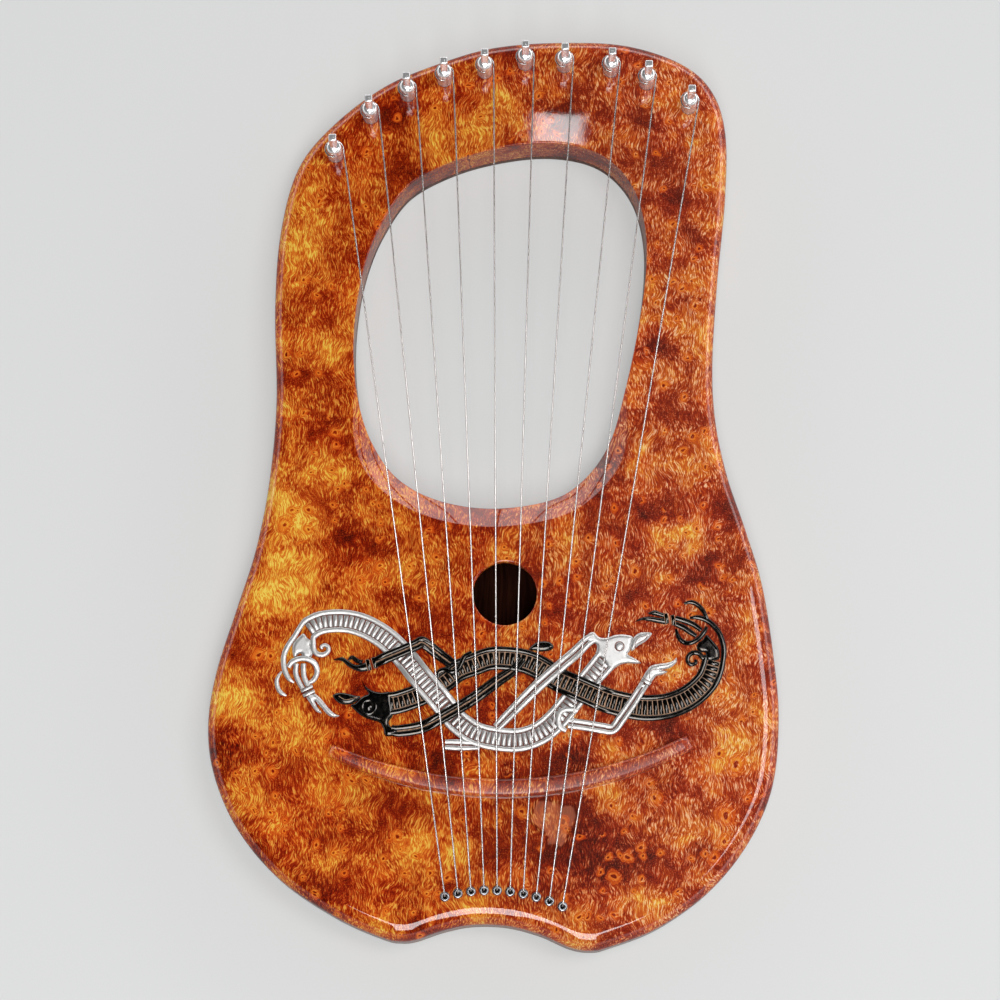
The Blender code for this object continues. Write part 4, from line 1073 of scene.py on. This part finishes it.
def lathe(shell, middle, profile, slot=METAL_SLOT):
    """Turned boss on the ornament; the profile is radius and height in millimetres."""
    shell.bar([shell.ring3([on_face(p, height) for p in circle(Vector(middle), radius, 40)])
               for radius, height in profile], slot)


def engraved(shell, points, height):
    """Thin line of painted groove light on top of a raised shape."""
    rings = []
    for middle, across, half, _ in band_frames([(*p, ENGRAVING_WIDTH) for p in points], 5):
        section = [(-half, -0.12), (-half * 0.6, 0.05), (half * 0.6, 0.05), (half, -0.12)]
        rings.append(crosswise(shell, middle, across, section, height))
    shell.bar(rings, PAINTED_LIGHT_SLOT)


def cuff(shell, ends, height):
    """Raised band across a wrist, with a line of painted groove light on each side."""
    one, two = (Vector(p) for p in ends)
    along = (two - one).normalized()
    aside = Vector((-along.y, along.x))
    for shift, width, rise, slot in ((0, 1.3, 0.3, METAL_SLOT), (-0.8, 0.3, 0.1, PAINTED_LIGHT_SLOT),
                                     (0.8, 0.3, 0.1, PAINTED_LIGHT_SLOT)):
        rings = []
        for share, lower in ((0.0, 0.25), (0.06, 0.0), (0.94, 0.0), (1.0, 0.25)):
            middle = one.lerp(two, share) + aside * shift
            top = height + rise - lower
            section = [(-0.5, height - 0.5), (-0.5, top - 0.12), (-0.25, top), (0.25, top),
                       (0.5, top - 0.12), (0.5, height - 0.5)]
            rings.append(crosswise(shell, middle, aside * width, section))
        shell.bar(rings, slot)


def from_rail(spine, side, tendril):
    """Tendril that grows out of a spine's rail, at the end nearer to its first point."""
    frames = band_frames(spine)
    first = Vector(tendril[0][:2])
    if (frames[0][0] - first).length < (frames[-1][0] - first).length:
        frames = frames[::-1]
    grown = []
    for middle, across, half, lift in frames[-9::4]:
        spot = middle + across * (side * (half - rail_width(half) / 2))
        grown.append((*spot, rail_width(half), lift / WEAVE_LIFT))
    return grown + tendril


def beast(side, spine, outer, spiral, limbs, tendrils, shapes, lines, cuffs):
    """Shell of one beast, whose outer rail is on the given side, and its height."""
    height = bpy.context.scene.lyre_sizes.relief_height / MM
    shell = Shell()
    band(shell, spine, spine_section, height)
    rungs(shell, spine, height)
    for points in limbs:
        band(shell, points, limb_section, height)
    for points in (*tendrils, from_rail(spine, side, outer), from_rail(spine, -side, spiral)):
        band(shell, points, tendril_section, height)
    for outline in shapes.values():
        pillow(shell, outline, height)
    for points in lines:
        engraved(shell, points, height)
    for ends in cuffs:
        cuff(shell, ends, height)
    return shell, height


class LYRE_OT_silver_beast(bpy.types.Operator):
    """Silver-coloured cast beast of the interlace"""
    bl_idname = "lyre.silver_beast"
    bl_label = "Silver beast"

    def execute(self, context):
        shell, top = beast(1, SILVER_SPINE, SILVER_OUTER, SILVER_SPIRAL, SILVER_LIMBS,
                           SILVER_TENDRILS, SILVER_SHAPES, SILVER_LINES, SILVER_CUFFS)
        x, y, radius = SILVER_EYE
        # the outer ring round the eye takes the painted groove shade
        lathe(shell, (x, y), [(radius + 0.45, top - 0.2), (radius + 0.45, top + 0.06),
                              (radius, top + 0.06)], PAINTED_LIGHT_SLOT)
        lathe(shell, (x, y), [(radius, top - 0.1), (radius, top + 0.1), (radius * 0.8, top + 0.3),
                              (radius * 0.4, top + 0.42), (0.05, top + 0.46)])
        cast = finishes("silver_casting", metal, (0.60, 0.59, 0.58), 0.38, 0.5, 0.5,
                        (0.34, 0.32, 0.30))
        # painted shade: dark red-brown in the grooves, lines and cuff edges stands for their shade
        # and for the wood reflected in them
        stain = finishes("silver_patina", painted_groove_light, (0.18, 0.035, 0.015))
        settled(shell.piece("silver_beast_cast", [cast, stain], 45),
                BODY, "cast_silver", "silver_beast")
        return {"FINISHED"}


class LYRE_OT_black_beast(bpy.types.Operator):
    """Blackened cast beast of the interlace"""
    bl_idname = "lyre.black_beast"
    bl_label = "Black beast"

    def execute(self, context):
        shell, top = beast(-1, BLACK_SPINE, BLACK_OUTER, BLACK_SPIRAL, BLACK_LIMBS,
                           BLACK_TENDRILS, BLACK_SHAPES, BLACK_LINES, BLACK_CUFFS)
        x, y, radius = BLACK_EYE
        lathe(shell, (x, y), [(radius, top - 0.3), (radius, top), (radius * 0.85, top + 0.22),
                              (radius * 0.7, top + 0.05), (radius * 0.6, top - 0.05)])
        lathe(shell, (x, y), [(radius * 0.45, top - 0.3), (radius * 0.45, top + 0.1),
                              (radius * 0.3, top + 0.35), (0.05, top + 0.42)])
        cast = finishes("black_casting", metal, (0.050, 0.047, 0.045), 0.10, 0.18, 0.5,
                        (0.12, 0.09, 0.06))
        # painted highlight: pale golden brown in the grooves, line and cuff edges stands for the
        # bright edges of the rungs and rails, over the wood's brown
        stain = finishes("black_patina", painted_groove_light, (0.52, 0.30, 0.18))
        settled(shell.piece("black_beast_cast", [cast, stain], 45),
                BODY, "cast_black", "black_beast")
        return {"FINISHED"}


PIN_RADIUS = 0.0034
THREAD_PITCH = 0.9         # millimetres
PIN_HOLE_HEIGHT = 0.0105
PIN_HOLE_RADIUS = 0.0006
PIN_BARREL_TOP = 0.0139    # above the front face
PIN_SHOULDER_WIDTH = 0.0016
PIN_SHOULDER_HEIGHT = 0.0017
PIN_CHAMFER = 0.001
PIN_CORE = 0.0002          # radius of the small flat in the middle of both ends
PIN_HEAD_FOOT = 0.0125
PIN_HEAD_WIDTH = 0.0034
PIN_HEAD_FOOT_WIDTH = 0.0030
PIN_HEAD_ROUNDING = 0.00055
AXIS = Vector((0, 0))


def pin_pattern():
    """One tuning pin about its own axis, with the front face at height 0."""
    low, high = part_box("tuning_pin_01")
    bottom, top = low.z - FACE_Z, high.z - FACE_Z
    profile = [(PIN_CORE, PIN_BARREL_TOP)]
    profile += [(PIN_RADIUS - PIN_SHOULDER_WIDTH * inset,
                 PIN_BARREL_TOP - PIN_SHOULDER_HEIGHT * drop) for inset, drop in rounding(8)]
    profile += [(PIN_RADIUS, bottom + PIN_CHAMFER), (PIN_RADIUS - PIN_CHAMFER, bottom),
                (PIN_CORE, bottom)]
    shell, head, hole = Shell(), Shell(), Shell()
    shell.bar([shell.ring(circle(AXIS, r, 48), z) for r, z in profile])
    bmesh.ops.create_cube(head.bm, size=1.0)
    for v in head.bm.verts:
        width, v.co.z = (PIN_HEAD_WIDTH, top) if v.co.z > 0 else (PIN_HEAD_FOOT_WIDTH,
                                                                  PIN_HEAD_FOOT)
        v.co.x *= width
        v.co.y *= width
    bmesh.ops.bevel(head.bm, geom=head.bm.edges, offset=PIN_HEAD_ROUNDING, segments=3,
                    profile=0.5, affect="EDGES")
    hole.bar([hole.ring3([(p.x, y, PIN_HOLE_HEIGHT + p.y)
                          for p in circle(AXIS, PIN_HOLE_RADIUS, 20)]) for y in (-0.005, 0.005)])
    barrel, head, hole = (part.piece(name, [chrome_finish()], 30) for part, name in (
        (shell, "pin_pattern"), (head, "pin_head"), (hole, "pin_hole")))
    return carved("pin_turned", barrel, (head, "UNION"), (hole, "DIFFERENCE"))


class LYRE_OT_pins(bpy.types.Operator):
    """Ten chromed tuning pins, each on its own turning body"""
    bl_idname = "lyre.pins"
    bl_label = "Tuning pins"

    def execute(self, context):
        mesh = pin_pattern()
        for number in NUMBERS:
            node = "tuning_pin_" + number
            made = placed(f"pin_{number}_turned", mesh)
            made.location = (*middle_of(node), FACE_Z)
            settled(made, "pin_" + number, "pin_chrome", node)
        return {"FINISHED"}


STRING_TURN = 0.75
STRING_PITCH = 0.0018
COIL_POINTS = 64
FERRULE_FLANGE_HEIGHT = 0.0009
FOOT_BEND_RADIUS = 0.0012
FERRULE_FLANGE_RADIUS = 0.00215
FERRULE_BORE_RADIUS = 0.0008
FERRULE_RADIUS = 0.0015
FERRULE_DEPTH = 0.010      # below its flange
LIP, RIM = 0.0004, 0.0005  # roundings of the flange's bore and edge


def string_route(pin, foot, radius):
    """Points of one string from its end at the pin's hole to its ball end."""
    wrap = PIN_RADIUS + FIT_GAP + radius
    leave = FACE_Z + PIN_HOLE_HEIGHT - STRING_TURN * STRING_PITCH
    route = []
    for k in range(round(STRING_TURN * COIL_POINTS), -1, -1):
        left = k / COIL_POINTS
        angle = 2 * math.pi * left
        route.append(Vector((pin.x + wrap * math.cos(angle), pin.y + wrap * math.sin(angle),
                             leave + left * STRING_PITCH)))
    flank = route[-1]
    top = Vector((*foot, FACE_Z + GLUE_GAP + FERRULE_FLANGE_HEIGHT + FIT_GAP))
    run = (foot - flank.xy).normalized() * FOOT_BEND_RADIUS
    entry = top + Vector((-run.x, -run.y, FOOT_BEND_RADIUS))
    rest = bridge_contact(flank, entry, radius)
    for here, there in ((flank, rest), (rest, entry)):
        route += [here.lerp(there, share) for share in (0.01, 0.5, 0.99)]
        route.append(there)
    route.pop()
    for away, drop in rounding(8):
        route.append(top + Vector((-run.x * away, -run.y * away, FOOT_BEND_RADIUS * (1 - drop))))
    route.append(Vector((*foot, FRAME_LOW.z)))
    return route


def bridge_contact(start, end, radius):
    """Point over the bridge's middle line, a clearance above its top."""
    line = end.xy - start.xy
    away = start.xy - BRIDGE_LOW - Vector((0, BRIDGE_RADIUS))
    a, b = line.dot(line), 2 * line.dot(away)
    c = away.dot(away) - BRIDGE_RADIUS ** 2
    spot = start.xy + line * ((-b + math.sqrt(b * b - 4 * a * c)) / (2 * a))
    return Vector((*spot, BRIDGE_TOP + FIT_GAP + radius))


class LYRE_OT_strings(bpy.types.Operator):
    """Ten plain steel strings, from the pins over the bridge to the ball ends"""
    bl_idname = "lyre.strings"
    bl_label = "Strings"

    def execute(self, context):
        radius = context.scene.lyre_sizes.string_radius
        steel = finishes("music_wire", metal, (0.46, 0.44, 0.43), 0.12, 0.2, 0.4)
        for number in NUMBERS:
            route = string_route(middle_of("tuning_pin_" + number),
                                 middle_of("ferrule_" + number), radius)
            curve = bpy.data.curves.new(f"string_{number}_wire", "CURVE")
            curve.dimensions = "3D"
            curve.bevel_depth = radius
            curve.bevel_resolution = 4
            curve.use_fill_caps = True
            spline = curve.splines.new("POLY")
            spline.points.add(len(route) - 1)
            for point, spot in zip(spline.points, route):
                point.co = (*spot, 1)
            spline.use_smooth = True
            curve.materials.append(steel)
            settled(placed(curve.name, curve), BODY, "string_steel", "string_" + number)
        return {"FINISHED"}


class LYRE_OT_feet(bpy.types.Operator):
    """Flanged eyelets in the front and brass ball ends at the back"""
    bl_idname = "lyre.feet"
    bl_label = "String feet"

    def execute(self, context):
        brass = finishes("turned_brass", metal, (0.74, 0.52, 0.20), 0.25, 0.4, 0.6)
        eyelet = finishes("eyelet_chrome", metal, (0.20, 0.20, 0.21), 0.14, 0.28, 0.4)
        height = FERRULE_FLANGE_HEIGHT
        angles = (0.0, 0.4, 0.8, 1.2, math.pi / 2)
        profile = [(FERRULE_BORE_RADIUS, -FERRULE_DEPTH)]
        profile += [(FERRULE_BORE_RADIUS + LIP * (1 - math.cos(a)),
                     height - LIP * (1 - math.sin(a))) for a in angles]
        profile += [(FERRULE_FLANGE_RADIUS - RIM + RIM * math.sin(a),
                     height - RIM * (1 - math.cos(a))) for a in angles]
        profile += [(FERRULE_FLANGE_RADIUS, 0.0), (FERRULE_RADIUS, 0.0),
                    (FERRULE_RADIUS, -FERRULE_DEPTH)]
        for number in NUMBERS:
            middle = middle_of("ferrule_" + number)
            shell = Shell()
            rings = [shell.ring(circle(middle, r, 32), FACE_Z + GLUE_GAP + z) for r, z in profile]
            shell.rows(rings + rings[:1])
            settled(shell.piece(f"eyelet_{number}_turned", [eyelet], 40),
                    BODY, "pin_chrome", "ferrule_" + number)
            low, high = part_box("ball_end_" + number)
            centre, half = (low + high) / 2, (high - low) / 2
            shell = Shell()
            shell.bar([shell.ring3([centre + Vector((half.x * place, *p))
                                    for p in circle(AXIS, half.z * wide, 24)])
                       for place, wide in ((-1, 0.86), (-0.8, 1), (0.8, 1), (1, 0.86))])
            settled(shell.piece(f"ball_{number}_turned", [brass], 40),
                    BODY, "ball_brass", "ball_end_" + number)
        return {"FINISHED"}


class LYRE_OT_inner_woodwork(bpy.types.Operator):
    """Finishes of the block, the braces and the patch inside the chamber"""
    bl_idname = "lyre.inner_woodwork"
    bl_label = "Inner woodwork"

    def execute(self, context):
        spruce = finishes("brace_spruce", straight_wood, (0.62, 0.42, 0.22),
                          (0.42, 0.25, 0.11), 0.6)
        block = finishes("block_wood", straight_wood, (0.20, 0.07, 0.025),
                         (0.08, 0.025, 0.01), 0.7, shine=0.1)
        for node, finish in (("tail_block", block), ("upper_brace", spruce),
                             ("lower_brace", spruce), ("bridge_patch", spruce)):
            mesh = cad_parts[node].data
            mesh.materials.clear()
            mesh.materials.append(finish)
        return {"FINISHED"}


FOCAL_LENGTH = 112.7       # millimetres, on a sensor 36 mm wide
CAMERA_DISTANCE = 1.380
CAMERA_TILT = math.radians(11.0)
CAMERA_AIM = Vector((0.00284, -0.00832, 0.025))
CLIP_END = 20.0
LAMP_DISTANCE = 2.0
FLOOR_REACH = 6.0
FLOOR_Z = -0.0002          # just under the back
FLOOR_SHADE = 0.52         # share of its colour that the floor throws back
FLOOR_GLOW = 0.49          # light that only the camera sees on it


def softbox(name, spot, lean, width, depth, radiance, strings=None):
    """Area lamp facing a place on the face; it leans east and north by so many degrees."""
    lamp = bpy.data.lights.new(name, "AREA")
    lamp.shape = "RECTANGLE"
    lamp.size = width
    lamp.size_y = depth
    lamp.energy = radiance * math.pi * width * depth
    made = placed(name, lamp)
    ray = Vector([math.tan(math.radians(angle)) for angle in lean] + [1]).normalized()
    made.location = Vector((*spot, FACE_Z)) + ray * LAMP_DISTANCE
    made.rotation_euler = ray.to_track_quat("Z", "Y").to_euler()
    if strings:
        made.light_linking.receiver_collection = string_flag(strings)


def string_flag(state):
    """Collection of the strings, so that a lamp leaves them out or lights nothing else."""
    name = "strings_" + state.lower()
    flag = bpy.data.collections.get(name)
    if not flag:
        flag = bpy.data.collections.new(name)
        for number in NUMBERS:
            flag.objects.link(bpy.data.objects[f"string_{number}_wire"])
        for part in flag.collection_objects:
            part.light_linking.link_state = state
    return flag


def floor_paint(g):
    """Pale paint; the camera sees it a little brighter than it lights the lyre."""
    colour = bpy.context.scene.lyre_finish.floor
    seen = g.put("LightPath").outputs["Is Camera Ray"]
    g.shine(Base_Color=tuple(FLOOR_SHADE * c for c in colour), Roughness=0.7, Emission_Color=colour,
            Emission_Strength=g.times(seen, FLOOR_GLOW))


class LYRE_OT_studio(bpy.types.Operator):
    """Floor, surroundings, lamps and camera"""
    bl_idname = "lyre.studio"
    bl_label = "Studio"

    def execute(self, context):
        scene = context.scene
        scene.view_settings.view_transform = "Standard"
        self.floor()
        self.surroundings(scene)
        softbox("south_softbox", (0, -0.1), (0, -22), 0.50, 1.40, 10.4, "EXCLUDE")
        softbox("east_softbox", (0.1, -0.1), (20, 5), 0.62, 0.85, 7.0, "EXCLUDE")
        softbox("string_card", (0, -0.04), (-4, 8.2), 1.50, 0.26, 14, "INCLUDE")
        softbox("foot_card", (0, -0.18), (-4, -6.6), 1.50, 0.20, 14, "INCLUDE")
        softbox("north_card", (0.029, 0.160), (1.1, 17.7), 0.053, 0.039, 12)
        camera = bpy.data.cameras.new("camera")
        camera.lens = FOCAL_LENGTH
        camera.sensor_width = 36.0
        camera.clip_end = CLIP_END
        eye = placed("camera", camera)
        back = Vector((0, -math.sin(CAMERA_TILT), math.cos(CAMERA_TILT)))
        eye.location = CAMERA_AIM + back * CAMERA_DISTANCE
        eye.rotation_euler = (CAMERA_TILT, 0, 0)
        scene.camera = eye
        return {"FINISHED"}

    def floor(self):
        shell = Shell()
        bmesh.ops.create_grid(shell.bm, x_segments=1, y_segments=1, size=FLOOR_REACH)
        floor = shell.piece("studio_floor", [finishes("studio_floor", floor_paint)])
        floor.location.z = FLOOR_Z

    def surroundings(self, scene):
        """Dark overhead and bright near the horizon, brighter to the north and east."""
        scene.world = bpy.data.worlds.new("studio")
        g = Graph(scene.world)
        way = g.put("TexCoord").outputs["Generated"]
        grey = g.ramp(g.split(way)[2], [(0.0, 0.5), (0.12, 1.0), (0.30, 1.0), (0.39, 0.35),
                                        (0.46, 0.02), (1.0, 0.003)])
        north = g.vector("DOT_PRODUCT", way, (0.6, 1.3, 0), out="Value")
        ground = g.set(g.tree.nodes["Background"], Color=grey,
                       Strength=g.maths("ADD", north, 2.1))
        plain = g.put("Background", scene.lyre_finish.floor)
        seen = g.put("LightPath").outputs["Is Camera Ray"]
        choice = g.put("MixShader", seen, ground.outputs[0], plain.outputs[0])
        g.set(g.tree.nodes["World Output"], Surface=choice.outputs[0])


class LYRE_PT_panel(bpy.types.Panel):
    """Lists the lyre's sizes, finishes and pieces"""
    bl_idname = "LYRE_PT_panel"
    bl_label = "Lyre harp"
    bl_space_type = "VIEW_3D"
    bl_region_type = "UI"
    bl_category = "Lyre"

    def draw(self, context):
        layout = self.layout
        for group in (context.scene.lyre_sizes, context.scene.lyre_finish):
            for key in group.__annotations__:
                layout.prop(group, key)
        for operator in OPERATORS:
            layout.operator(operator.bl_idname)


OPERATORS = (
    LYRE_OT_front_plate, LYRE_OT_frame_ring, LYRE_OT_rear_plate, LYRE_OT_bridge,
    LYRE_OT_silver_beast, LYRE_OT_black_beast, LYRE_OT_pins, LYRE_OT_strings,
    LYRE_OT_feet, LYRE_OT_inner_woodwork, LYRE_OT_studio,
)
CLASSES = (LyreSizes, LyreFinish, *OPERATORS, LYRE_PT_panel)


def register():
    for kind in CLASSES:
        bpy.utils.register_class(kind)
    bpy.types.Scene.lyre_sizes = PointerProperty(type=LyreSizes)
    bpy.types.Scene.lyre_finish = PointerProperty(type=LyreFinish)


def unregister():
    del bpy.types.Scene.lyre_finish
    del bpy.types.Scene.lyre_sizes
    for kind in reversed(CLASSES):
        bpy.utils.unregister_class(kind)


def main():
    register()
    for stray in [o for o in bpy.data.objects if o.type in {"LIGHT", "CAMERA"}]:
        bpy.data.objects.remove(stray, do_unlink=True)
    bpy.ops.lyre.front_plate()
    bpy.ops.lyre.frame_ring()
    bpy.ops.lyre.rear_plate()
    bpy.ops.lyre.bridge()
    bpy.ops.lyre.silver_beast()
    bpy.ops.lyre.black_beast()
    bpy.ops.lyre.pins()
    bpy.ops.lyre.strings()
    bpy.ops.lyre.feet()
    bpy.ops.lyre.inner_woodwork()
    bpy.ops.lyre.studio()


if __name__ == "__main__":
    main()
